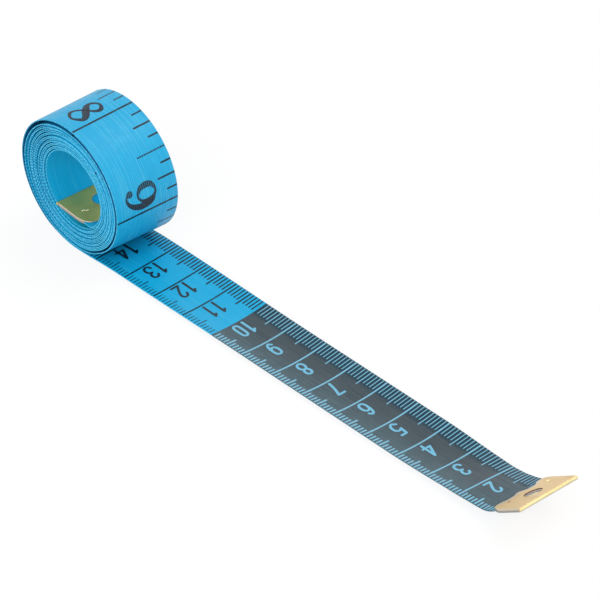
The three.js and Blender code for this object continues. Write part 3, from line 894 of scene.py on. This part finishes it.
def stroke_edges(line, closed):
    """A stroke's points with the direction beside it and its half width; open ends get round caps."""
    if closed:
        along = np.roll(line, -1, 0)[:, :2] - np.roll(line, 1, 0)[:, :2]
    else:
        along = np.gradient(line[:, :2], axis=0)
    along = along / np.linalg.norm(along, axis=1, keepdims=True)
    place, half = line[:, :2], line[:, 2] / 2
    if not closed:
        turn = np.linspace(CAP_ANGLE, 0, CAP_STEPS, endpoint=False)
        before = place[0] - along[0] * (half[0] * np.sin(turn))[:, None]
        after = place[-1] + along[-1] * (half[-1] * np.sin(turn[::-1]))[:, None]
        place = np.concatenate([before, place, after])
        half = np.concatenate([half[0] * np.cos(turn), half, half[-1] * np.cos(turn[::-1])])
        ones = np.ones((CAP_STEPS, 1))
        along = np.concatenate([ones * along[0], along, ones * along[-1]])
    return place, np.stack([-along[:, 1], along[:, 0]], -1), half


def add_number(solid, tape, strokes, placing, side):
    """The strokes of a digit as thin ribbons of ink on one face of the tape, each a little higher than the
    one before it. placing turns the digit's own places into places along the scale and across the tape."""
    share = np.linspace(-1, 1, RIBBON_POINTS)
    across = np.concatenate([share, share[::-1]])
    ink = tape.scale.ink * np.repeat([1, -1], RIBBON_POINTS)
    for layer, (kind, *controls) in enumerate(strokes):
        place, beside, half = stroke_edges(stroke_line(kind, controls), kind == "ring")
        spots = place[:, None] + beside[:, None] * (half[:, None] * across[None])[..., None]
        s, y = placing(spots[..., 0], spots[..., 1])
        height = side * (tape.half + ink[None] * (1 + layer * STROKE_RISE))
        solid.add(tape.point(s, y, height), 0, kind == "ring")


class Nodes:
    """Short ways to add shader nodes to a material."""

    def __init__(self, name):
        self.material = bpy.data.materials.new(name)
        self.material.use_nodes = True
        self.tree = self.material.node_tree
        self.shader = self.tree.nodes["Principled BSDF"]

    def new(self, kind, **values):
        node = self.tree.nodes.new(kind)
        for key, value in values.items():
            setattr(node, key, value)
        return node

    def put(self, socket, value):
        """Sets a socket, or links it."""
        if isinstance(value, bpy.types.NodeSocket):
            self.tree.links.new(value, socket)
        else:
            socket.default_value = value

    def math(self, operation, *values):
        node = self.new("ShaderNodeMath", operation=operation)
        for socket, value in zip(node.inputs, values):
            self.put(socket, value)
        return node.outputs[0]

    def ramp(self, value, low, high, start=0.0, end=1.0):
        """A smooth step of a value."""
        node = self.new("ShaderNodeMapRange", interpolation_type="SMOOTHSTEP")
        for socket, entry in zip(node.inputs, (value, low, high, start, end)):
            self.put(socket, entry)
        return node.outputs[0]

    def mix(self, factor, first, second, blend_type="MIX"):
        """A colour between two."""
        node = self.new("ShaderNodeMix", data_type="RGBA", blend_type=blend_type)
        self.put(node.inputs["Factor"], factor)
        for socket, value in zip((node.inputs[6], node.inputs[7]), (first, second)):
            self.put(socket, value if isinstance(value, bpy.types.NodeSocket) else (*value, 1.0))
        return node.outputs[2]

    def tint(self, factor, first, by):
        """A colour multiplied by another, by a share."""
        return self.mix(factor, first, by, "MULTIPLY")

    def split(self, vector):
        """The three values of a vector."""
        node = self.new("ShaderNodeSeparateXYZ")
        self.put(node.inputs[0], vector)
        return [node.outputs[i] for i in range(3)]

    def both(self, name):
        """The two values of a UV map, in millimetres."""
        return self.split(self.new("ShaderNodeUVMap", uv_map=name).outputs[0])[:2]

    def place(self):
        """The place in the part's frame, in metres."""
        return self.new("ShaderNodeTexCoord").outputs["Object"]

    def surface(self, base, rough, specular=0.5):
        """Links the colour and the roughness, and sets the reflection."""
        self.put(self.shader.inputs["Base Color"], base)
        self.put(self.shader.inputs["Roughness"], rough)
        self.put(self.shader.inputs["Specular IOR Level"], specular)

    def noise(self, scale, detail=2.0, vector=None):
        node = self.new("ShaderNodeTexNoise")
        self.put(node.inputs["Scale"], scale)
        self.put(node.inputs["Detail"], detail)
        self.put(node.inputs["Vector"], self.place() if vector is None else vector)
        return node.outputs[0]

    def near(self, value, period, half, soft=0.06):
        """1 on lines a period apart, each twice half wide, with soft sides; half may be a socket."""
        away = self.math("PINGPONG", value, period / 2)
        return self.ramp(self.math("SUBTRACT", away, half), -soft, soft, 1.0, 0.0)

    def above(self, value, limit, soft=0.06):
        return self.ramp(value, limit - soft, limit + soft)

    def below(self, value, limit, soft=0.06):
        return self.ramp(value, limit - soft, limit + soft, 1.0, 0.0)

    def between(self, value, limits, soft):
        return self.times(self.above(value, limits[0], soft), self.below(value, limits[1], soft))

    def most(self, *values):
        found = values[0]
        for value in values[1:]:
            found = self.math("MAXIMUM", found, value)
        return found

    def times(self, *values):
        found = values[0]
        for value in values[1:]:
            found = self.math("MULTIPLY", found, value)
        return found

    def bump(self, height, distance, strength):
        node = self.new("ShaderNodeBump")
        node.inputs["Distance"].default_value = distance
        node.inputs["Strength"].default_value = strength
        self.put(node.inputs["Height"], height)
        self.put(self.shader.inputs["Normal"], node.outputs[0])


def threads(nodes, along, across):
    """Height of the cloth under its coating: lengthwise threads, fainter crosswise ones, each with a strength
    that wanders over the tape."""
    wander = nodes.noise(110.0, 3.0)
    lengthwise = nodes.math("SINE", nodes.times(across, FULL_TURN / THREAD_PITCH))
    crosswise = nodes.math("SINE", nodes.times(along, FULL_TURN / WEFT_PITCH))
    woven = nodes.math("MULTIPLY_ADD", crosswise, 0.12, lengthwise)
    return nodes.times(woven, nodes.ramp(wander, 0.3, 0.7, 0.45, 1.0))


def face_material(name, colours, marks, shadow, dark_length=None):
    """A printed face: cloth or dark ground, with marks where a function of the scale says so. The threads
    lighten and darken it a little, and wear the marks. The dark ground has painted light towards its near
    edge and towards the tip, and painted shade towards its far edge. Beside the gap under the outermost turn,
    between two places on the scale, its borders are darkened with painted shade."""
    nodes = Nodes(name)
    along, across = nodes.both(FACE_MAP)
    height = threads(nodes, along, across)
    patchy = nodes.noise(700.0, 3.0)
    worn = nodes.ramp(nodes.math("MULTIPLY_ADD", height, 0.1, patchy), 0.2, 0.5, 0.78, 1.0)
    drawn = nodes.new("ShaderNodeCombineXYZ")
    nodes.put(drawn.inputs[0], nodes.times(along, 0.02))
    nodes.put(drawn.inputs[1], across)
    streak = nodes.noise(2.8, 3.0, drawn.outputs[0])
    fine = nodes.noise(4.5, 2.0, drawn.outputs[0])
    strength = 1.0 if dark_length is None else 0.4
    cloth = nodes.mix(nodes.ramp(streak, 0.46, 0.66, 0.0, strength), colours.cloth, colours.streak)
    ground, mark, light, uneven = cloth, colours.ink, 1.0, patchy
    if dark_length is not None:
        light = nodes.above(along, dark_length, 0.05)
        # Painted light: the dark ground is lighter towards the near edge and towards the tip; painted shade:
        # darker towards the far edge.
        painted_light = nodes.most(nodes.ramp(across, -7.0, 1.0, 1.0, 0.0), nodes.ramp(along, 9.0, 22.0, 0.8, 0.0))
        dark = nodes.mix(painted_light, colours.dark, colours.dark_near)
        dark = nodes.mix(nodes.ramp(across, 3.0, 4.8), dark, colours.dark_far)
        dark = nodes.tint(nodes.ramp(fine, 0.4, 0.64), dark, STREAK_TINT)
        ground = nodes.mix(light, dark, cloth)
        mark = nodes.mix(light, colours.light_mark, colours.ink)
        uneven = fine
    mask = nodes.times(marks(nodes, along, across, light), worn)
    grain = nodes.math("MULTIPLY_ADD", uneven, 0.4, nodes.times(height, 0.25))
    shade = nodes.tint(nodes.ramp(grain, -0.2, 0.6), ground, HOLLOW_TINT)
    # Painted shade: the face's borders are darkened beside the gap under the outermost turn.
    beside = nodes.ramp(nodes.math("ABSOLUTE", across), 6.4, 7.4)
    gap_shade = nodes.times(nodes.between(along, shadow, GAP_SHADE_FADE), beside)
    shade = nodes.tint(gap_shade, shade, GAP_SHADE_TINT)
    rough = nodes.ramp(patchy, 0.2, 0.8, 0.36, 0.5)
    nodes.surface(nodes.mix(mask, shade, mark), rough, 0.4 if dark_length is None else 0.14)
    nodes.bump(nodes.math("MULTIPLY_ADD", patchy, 0.5, height), 0.00002, 0.5)
    return nodes.material


def centimetre_marks(scale):
    """Millimetre ticks on both edges, longer ones at five, and a line across at each centimetre but where the
    two grounds meet. The far ticks are wide in ink and narrow where they are left light, the near ones the
    other way round. On the roll the ticks are worn off the tape's edges."""

    def marks(nodes, along, across, light):
        def row(half, side, tick_from, five_from):
            tick = nodes.times(nodes.near(along, 1.0, half), side(across, tick_from))
            five = nodes.near(along, 5.0, nodes.math("ADD", half, FIVE_WIDER))
            return nodes.most(tick, nodes.times(five, side(across, five_from)))

        far = row(nodes.math("MULTIPLY_ADD", light, 0.09, 0.12), nodes.above, *FAR_TICKS)
        near = row(nodes.math("MULTIPLY_ADD", light, -0.08, 0.215), nodes.below, *NEAR_TICKS)
        line = nodes.near(along, 10.0, nodes.math("MULTIPLY_ADD", light, 0.02, 0.21))
        line = nodes.times(line, nodes.above(along, FIRST_LINE))
        off = nodes.math("ABSOLUTE", nodes.math("SUBTRACT", along, scale.dark_length))
        within = nodes.times(nodes.above(off, 0.5), nodes.below(along, scale.printed))
        border = nodes.ramp(nodes.math("ABSOLUTE", across), 6.9, 7.5, 0.0, 0.6)
        kept = nodes.math("SUBTRACT", 1.0, nodes.times(nodes.above(along, WORN_FROM, 3.0), border))
        return nodes.times(nodes.most(far, near, line), within, kept)

    return marks


def inch_marks(scale):
    """Eighths on one edge, longer at the quarters, a finer broken line at the halves, and a line across at
    each inch."""

    def marks(nodes, along, across, light):
        off_quarter = nodes.above(nodes.math("PINGPONG", along, INCH / 4), 1.0)
        eighth = nodes.times(nodes.near(along, INCH / 8, 0.22), nodes.above(across, EIGHTH_FROM), off_quarter)
        from_inch = nodes.math("PINGPONG", nodes.math("ADD", along, INCH / 2), INCH / 2)
        quarter = nodes.times(nodes.near(along, INCH / 4, 0.24), nodes.above(across, QUARTER_FROM))
        quarter = nodes.times(quarter, nodes.above(from_inch, 1.0))
        broken = nodes.ramp(nodes.math("PINGPONG", across, 0.3), 0.02, 0.2, 0.45, 1.0)
        half = nodes.times(nodes.near(along, INCH / 2, 0.19), nodes.above(across, HALF_FROM), broken)
        line = nodes.near(along, INCH, 0.27)
        return nodes.times(nodes.most(eighth, quarter, half, line), nodes.below(along, scale.printed))

    return marks


def edge_material(colours, dark_length, shadow):
    """The cut edge: lighter cloth, with painted shade towards the two faces, where the turns meet, and the
    ends of the crosswise threads as dots, which are strongest towards -X, on the roll's left side. It is dark
    beside the dark print, grey inside the outer tip, and has painted shade on the side of the gap under the
    outermost turn."""
    nodes = Nodes("tape_cut_edge")
    along, height = nodes.both(EDGE_MAP)
    wander = nodes.noise(300.0, 2.0)
    step = nodes.times(along, FULL_TURN / EDGE_DOT_PITCH)
    beat = nodes.math("SINE", nodes.math("MULTIPLY_ADD", wander, 4.0, step))
    # The thread dots are strongest towards -X, on the roll's left side, and fade towards +X.
    loose = nodes.ramp(nodes.split(nodes.place())[0], *DOTS_FADE_X, 0.95, 0.35)
    dots = nodes.times(nodes.ramp(beat, -0.1, 0.6), loose)
    # Painted shade: the edge is darkened towards both faces, where the turns meet.
    border = nodes.ramp(nodes.math("ABSOLUTE", height), 0.08, 0.14, 0.0, 0.45)
    # Painted shade on the edge beside the gap under the outermost turn.
    gap_shade = nodes.times(nodes.between(along, shadow, GAP_SHADE_FADE), nodes.ramp(height, -0.04, 0.06, 0.0, 0.8))
    dark = nodes.most(dots, border, gap_shade)
    fuzz = nodes.noise(1500.0, 2.0)
    pale = nodes.mix(nodes.ramp(fuzz, 0.3, 0.75), colours.edge, colours.cloth)
    plain = nodes.mix(dark, pale, colours.edge_dark)
    printed = nodes.mix(nodes.below(along, 8.0, 1.0), colours.dark_edge, colours.raw_edge)
    shade = nodes.mix(nodes.above(along, dark_length, 0.3), printed, plain)
    nodes.surface(shade, nodes.ramp(fuzz, 0.2, 0.8, 0.5, 0.7), 0.3)
    nodes.bump(nodes.math("MULTIPLY_ADD", dark, -0.8, fuzz), 0.00005, 0.5)
    return nodes.material


def ink_material(name, ink, cloth=None):
    """Printed ink, slightly uneven and with the cloth's threads showing through. Where the cloth's colour is
    given, the ink is worn to thin lengthwise lines, most so half way up the roll."""
    nodes = Nodes(name)
    patchy = nodes.noise(900.0, 3.0)
    soft = tuple(0.92 * v + 0.08 * w for v, w in zip(ink, THIN_INK))
    shade = nodes.mix(nodes.ramp(patchy, 0.4, 0.7), ink, soft)
    if cloth is not None:
        _, y, z = nodes.split(nodes.place())
        lines = nodes.math("SINE", nodes.times(y, FULL_TURN / WEAR_PITCH))
        risen = nodes.ramp(z, 0.018, 0.0208, 0.1, 0.36)
        fallen = nodes.ramp(z, 0.024, 0.028, 1.0, 0.2)
        worn = nodes.times(nodes.ramp(lines, -0.2, 0.9), risen, fallen)
        shade = nodes.mix(worn, shade, cloth)
    nodes.surface(shade, nodes.ramp(patchy, 0.2, 0.8, 0.38, 0.52), 0.3)
    nodes.bump(patchy, 0.00003, 0.25)
    return nodes.material


def metal_material(name, base, rough):
    """Plated brass sheet: fine scratches along Y and a soft unevenness of its polish."""
    nodes = Nodes(name)
    drawn = nodes.new("ShaderNodeMapping")
    nodes.put(drawn.inputs["Vector"], nodes.place())
    drawn.inputs["Scale"].default_value = (1.0, 0.12, 1.0)
    scratches = nodes.noise(2600.0, 3.0, drawn.outputs[0])
    cloudy = nodes.noise(300.0, 3.0)
    shade = nodes.tint(nodes.ramp(cloudy, 0.45, 0.8), base, CLOUD_TINT)
    nodes.surface(shade, nodes.ramp(scratches, 0.25, 0.75, rough, rough + 0.14))
    nodes.shader.inputs["Metallic"].default_value = 0.85
    nodes.bump(nodes.math("MULTIPLY_ADD", scratches, 0.3, cloudy), 0.00002, 0.15)
    return nodes.material


def tape_materials(settings):
    """The two printed faces and the cut edge, made once and shared."""
    if "tape_centimetre_face" not in bpy.data.materials:
        tape = Tape(settings)
        scale, colours = tape.scale, settings.colours
        # Stretches of the scale beside the gap under the outermost turn, which get painted shade.
        around = FULL_TURN * tape.roll.radius
        outer = [tape.zero + turns * around for turns in OUTER_GAP_TURNS]
        under = [tape.zero + turns * around for turns in UNDER_GAP_TURNS]
        face_material("tape_centimetre_face", colours, centimetre_marks(scale), outer, scale.dark_length)
        face_material("tape_inch_face", colours, inch_marks(scale), under)
        edge_material(colours, scale.dark_length, outer)
    return [bpy.data.materials[name] for name in ("tape_centimetre_face", "tape_inch_face", "tape_cut_edge")]


def flex_span(tape, i):
    """The stretch that belongs to a flex line, as distances from the roll: to the middle of each length
    beside it, or to the end of the strip."""
    low = 0 if i == 0 else (tape.flex[i - 1] + tape.flex[i]) / 2
    high = tape.fold if i == len(tape.flex) - 1 else (tape.flex[i] + tape.flex[i + 1]) / 2
    return low, high


def flex_for(tape, low, high):
    """The flex line whose bend alone reaches a stretch of the strip."""
    before = np.concatenate([[-np.inf], tape.flex[:-1] + tape.strip.flex_after])
    after = np.concatenate([tape.flex[1:] - tape.strip.flex_before, [np.inf]])
    fits = np.nonzero((before <= low) & (high <= after))[0]
    if not len(fits):
        raise ValueError(f"no flex line takes the stretch from {low:.1f} to {high:.1f} mm")
    middle = (low + high) / 2
    return int(fits[np.argmin(np.abs(tape.flex[fits] - middle))])


class TAPE_OT_centimetre_numbers(bpy.types.Operator):
    """Prints the numbers of the centimetre scale on the free strip."""

    bl_idname = "tape_measure.centimetre_numbers"
    bl_label = "Centimetre numbers"

    def execute(self, context):
        settings = context.scene.tape_measure
        tape = Tape(settings)
        colours = settings.colours
        light = ink_material("light_mark_ink", colours.light_ink)
        black = ink_material("black_mark_ink", colours.ink)
        made = {}
        for number in range(2, 15):
            foot = CM_STEP * number - CM_GAP
            top = foot - CM_HEIGHT
            shift = CM_SHIFT - CM_SHIFT_STEP * number
            line = flex_for(tape, tape.zero - foot, tape.zero - top)
            shade = "light" if foot < tape.scale.dark_length else "black"
            solid = made.setdefault((line, shade), Solid())
            words = str(number)
            for i, digit in enumerate(words):
                left = 0.0 if len(words) == 1 else CM_DIGIT_STEP * i + CM_PAIR_START
                add_number(
                    solid, tape, ROUND_DIGITS[digit],
                    lambda x, y, left=left - shift, foot=foot: (foot - y, -left - x), 1,
                )
        for (line, shade), solid in made.items():
            name = f"centimetre_numbers_{shade}_{line + 1}"
            obj = solid.finished(name, [light if shade == "light" else black])
            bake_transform(obj)
        return {"FINISHED"}


class TAPE_OT_inch_numbers(bpy.types.Operator):
    """Prints the numbers of the inch scale on the strip's underside and on the roll."""

    bl_idname = "tape_measure.inch_numbers"
    bl_label = "Inch numbers"

    def execute(self, context):
        settings = context.scene.tape_measure
        tape = Tape(settings)
        ink = ink_material("bold_number_ink", settings.colours.bold_ink, settings.colours.cloth)
        made = {}
        for number in range(1, 11):
            words = str(number)
            width = INCH_DIGIT_STEP * len(words)
            left = INCH * number - INCH_GAP - width
            on_roll = tape.zero - left < tape.flex[0] - tape.strip.flex_before
            line = None if on_roll else flex_for(tape, tape.zero - left - width, tape.zero - left)
            solid = made.setdefault(line, Solid())
            for i, digit in enumerate(words):
                start = left + INCH_DIGIT_STEP * i
                add_number(
                    solid, tape, BOLD_DIGITS[digit],
                    lambda x, y, start=start: (start + x, INCH_HEIGHT * y + INCH_FOOT), -1,
                )
        for line, solid in made.items():
            name = "inch_numbers_roll" if line is None else f"inch_numbers_{line + 1}"
            obj = solid.finished(name, [ink])
            if line is None:
                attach(obj, "roll")
            else:
                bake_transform(obj)
        return {"FINISHED"}


class TAPE_OT_winding(bpy.types.Operator):
    """Winds the tape onto the roll, from its lowest line to the inner tip."""

    bl_idname = "tape_measure.winding"
    bl_label = "Winding"

    def execute(self, context):
        settings = context.scene.tape_measure
        tape = Tape(settings)
        solid = Solid()
        inside_tip = tape.end - tape.tip.length + TIP_GRIP
        add_band(solid, tape, tape.zero, inside_tip)
        add_tape_end(solid, tape, True)
        obj = solid.finished("tape_winding", tape_materials(settings))
        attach(obj, "roll")
        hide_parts("tape_roll")
        return {"FINISHED"}


class TAPE_OT_strip(bpy.types.Operator):
    """Lays the free strip as stretches, one round each flex line."""

    bl_idname = "tape_measure.strip"
    bl_label = "Free strip"

    def execute(self, context):
        settings = context.scene.tape_measure
        tape = Tape(settings)
        last = len(tape.flex) - 1
        for i in range(len(tape.flex)):
            low, high = flex_span(tape, i)
            solid = Solid()
            far = tape.fold - tape.tip.length + TIP_GRIP if i == last else high
            add_band(solid, tape, tape.zero - far, tape.zero - low)
            if i == last:
                add_tape_end(solid, tape, False)
            obj = solid.finished(f"tape_strip_{i + 1}", tape_materials(settings))
            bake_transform(obj)
            nodes = ["tape_foot"] if i == 0 else [f"tape_length_{i}"]
            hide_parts(*nodes, *(["tape_end"] if i == last else []))
        return {"FINISHED"}


class TAPE_OT_tips(bpy.types.Operator):
    """Folds a metal tip over each end of the tape."""

    bl_idname = "tape_measure.tips"
    bl_label = "End tips"

    def execute(self, context):
        settings = context.scene.tape_measure
        tape = Tape(settings)
        colours = settings.colours
        edge = metal_material("tip_cut_edge", colours.metal_edge, 0.4)
        fold = metal_material("tip_fold_metal", colours.fold, 0.2)
        # Painted shade for the outer tip's hole wall and its near crimp mark.
        rim = metal_material("tip_tarnished_metal", colours.tarnish, 0.4)
        lower = metal_material("tip_lower_edge", colours.lower_edge, 0.45)
        for name, node, body, inner in (
            ("outer_tip", "outer_end_tip", "end", False),
            ("inner_tip", "inner_end_tip", "roll", True),
        ):
            solid = Solid()
            for side in (1, -1):
                add_leaf(solid, tape, inner, side)
            add_crimp_marks(solid, tape, inner)
            add_fold(solid, tape, inner)
            sheet = metal_material(f"{name}_metal", colours.inner_metal if inner else colours.metal, 0.36)
            obj = solid.finished(name, [sheet, edge, fold, edge if inner else rim, lower], 40)
            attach(obj, body)
            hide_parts(node)
        return {"FINISHED"}


def area_light(name, place, target, size, power):
    """Adds a soft square lamp aimed at a point."""
    data = bpy.data.lights.new(name, "AREA")
    data.energy = power
    data.size = size
    lamp = bpy.data.objects.new(name, data)
    lamp.location = place
    lamp.rotation_euler = (Vector(target) - Vector(place)).to_track_quat("-Z", "Y").to_euler()
    bpy.context.scene.collection.objects.link(lamp)


def seen_white(tree, shader, share):
    """Mixes a shader with plain white for rays that show the ground or surround rather than light it."""
    path = tree.nodes.new("ShaderNodeLightPath")
    seen = path.outputs["Is Camera Ray"]
    for name in ("Is Glossy Ray", "Is Transmission Ray"):
        either = tree.nodes.new("ShaderNodeMath")
        either.operation = "MAXIMUM"
        tree.links.new(seen, either.inputs[0])
        tree.links.new(path.outputs[name], either.inputs[1])
        seen = either.outputs[0]
    part = tree.nodes.new("ShaderNodeMath")
    part.operation = "MULTIPLY"
    part.inputs[1].default_value = share
    tree.links.new(seen, part.inputs[0])
    white = tree.nodes.new("ShaderNodeEmission" if shader.type != "BACKGROUND" else "ShaderNodeBackground")
    white.inputs["Strength"].default_value = 1.0
    white.inputs["Color"].default_value = (1, 1, 1, 1)
    mixed = tree.nodes.new("ShaderNodeMixShader")
    tree.links.new(part.outputs[0], mixed.inputs[0])
    tree.links.new(shader.outputs[0], mixed.inputs[1])
    tree.links.new(white.outputs[0], mixed.inputs[2])
    return mixed.outputs[0]


class TAPE_OT_stage(bpy.types.Operator):
    """Sets the pale ground, the soft lights and the camera."""

    bl_idname = "tape_measure.stage"
    bl_label = "Stage"

    def execute(self, context):
        settings = context.scene.tape_measure
        stage = settings.stage
        scene = context.scene
        side = np.linspace(-GROUND_REACH, GROUND_REACH, GROUND_POINTS)
        across, along = np.meshgrid(side, side)
        points = np.stack([along, across, np.full_like(along, GROUND_HEIGHT)], -1)
        index = np.arange(GROUND_POINTS**2).reshape(GROUND_POINTS, GROUND_POINTS)
        quads = np.stack([index[:-1, :-1], index[1:, :-1], index[1:, 1:], index[:-1, 1:]], -1).reshape(-1, 4)
        mesh = bpy.data.meshes.new("ground")
        mesh.from_pydata(points.reshape(-1, 3).tolist(), [], quads.tolist())
        ground = bpy.data.objects.new("ground", mesh)
        scene.collection.objects.link(ground)
        material = bpy.data.materials.new("ground_white")
        material.use_nodes = True
        tree = material.node_tree
        shader = tree.nodes["Principled BSDF"]
        shader.inputs["Base Color"].default_value = (*settings.colours.floor, 1)
        shader.inputs["Roughness"].default_value = 0.9
        output = tree.nodes["Material Output"]
        tree.links.new(seen_white(tree, shader, 0.85), output.inputs["Surface"])
        mesh.materials.append(material)

        world = bpy.data.worlds.new("soft_surround")
        world.use_nodes = True
        tree = world.node_tree
        background = tree.nodes["Background"]
        background.inputs["Color"].default_value = (1, 1, 1, 1)
        background.inputs["Strength"].default_value = stage.world
        tree.links.new(seen_white(tree, background, 1.0), tree.nodes["World Output"].inputs["Surface"])
        scene.world = world

        for name, (place, size) in LIGHTS.items():
            area_light(f"{name}_light", place, LIT_POINT, size, getattr(stage, name))

        azimuth, elevation, roll = stage.azimuth, stage.elevation, stage.roll
        level_share = math.cos(elevation)
        back = Vector((level_share * math.cos(azimuth), level_share * math.sin(azimuth), math.sin(elevation)))
        level = Vector((-math.sin(azimuth), math.cos(azimuth), 0))
        upright = back.cross(level)
        right = level * math.cos(roll) + upright * math.sin(roll)
        up = back.cross(right)
        data = bpy.data.cameras.new("camera")
        data.sensor_fit = "HORIZONTAL"
        data.sensor_width = 36
        data.lens = stage.lens
        camera = bpy.data.objects.new("camera", data)
        turn = Matrix((right, up, back)).transposed().to_4x4()
        camera.matrix_world = Matrix.Translation(Vector(stage.camera)) @ turn
        scene.collection.objects.link(camera)
        scene.camera = camera
        scene.view_settings.view_transform = "Standard"
        return {"FINISHED"}


class VIEW3D_PT_tape_measure(bpy.types.Panel):
    """Lists the steps that build the tape measure."""

    bl_label = "Tape measure"
    bl_space_type = "VIEW_3D"
    bl_region_type = "UI"
    bl_category = "Tape"

    def draw(self, context):
        for operator in OPERATORS:
            self.layout.operator(operator.bl_idname)
        settings = context.scene.tape_measure
        for name in ("band", "roll", "strip", "tip", "scale", "colours", "stage"):
            group = getattr(settings, name)
            box = self.layout.box()
            for key in group.bl_rna.properties.keys():
                if key not in ("rna_type", "name"):
                    box.prop(group, key)


GROUPS = (
    BandSizes,
    RollSizes,
    StripSizes,
    TipSizes,
    ScaleSizes,
    TapeColours,
    StageSizes,
    TapeMeasureSettings,
)
OPERATORS = (
    TAPE_OT_stage,
    TAPE_OT_centimetre_numbers,
    TAPE_OT_inch_numbers,
    TAPE_OT_winding,
    TAPE_OT_strip,
    TAPE_OT_tips,
)
CLASSES = (*GROUPS, *OPERATORS, VIEW3D_PT_tape_measure)


def register():
    for item in CLASSES:
        bpy.utils.register_class(item)
    bpy.types.Scene.tape_measure = PointerProperty(type=TapeMeasureSettings)


def unregister():
    del bpy.types.Scene.tape_measure
    for item in reversed(CLASSES):
        bpy.utils.unregister_class(item)


def main():
    register()
    bpy.ops.tape_measure.stage()
    bpy.ops.tape_measure.centimetre_numbers()
    bpy.ops.tape_measure.inch_numbers()
    bpy.ops.tape_measure.winding()
    bpy.ops.tape_measure.strip()
    bpy.ops.tape_measure.tips()


if __name__ == "__main__":
    main()
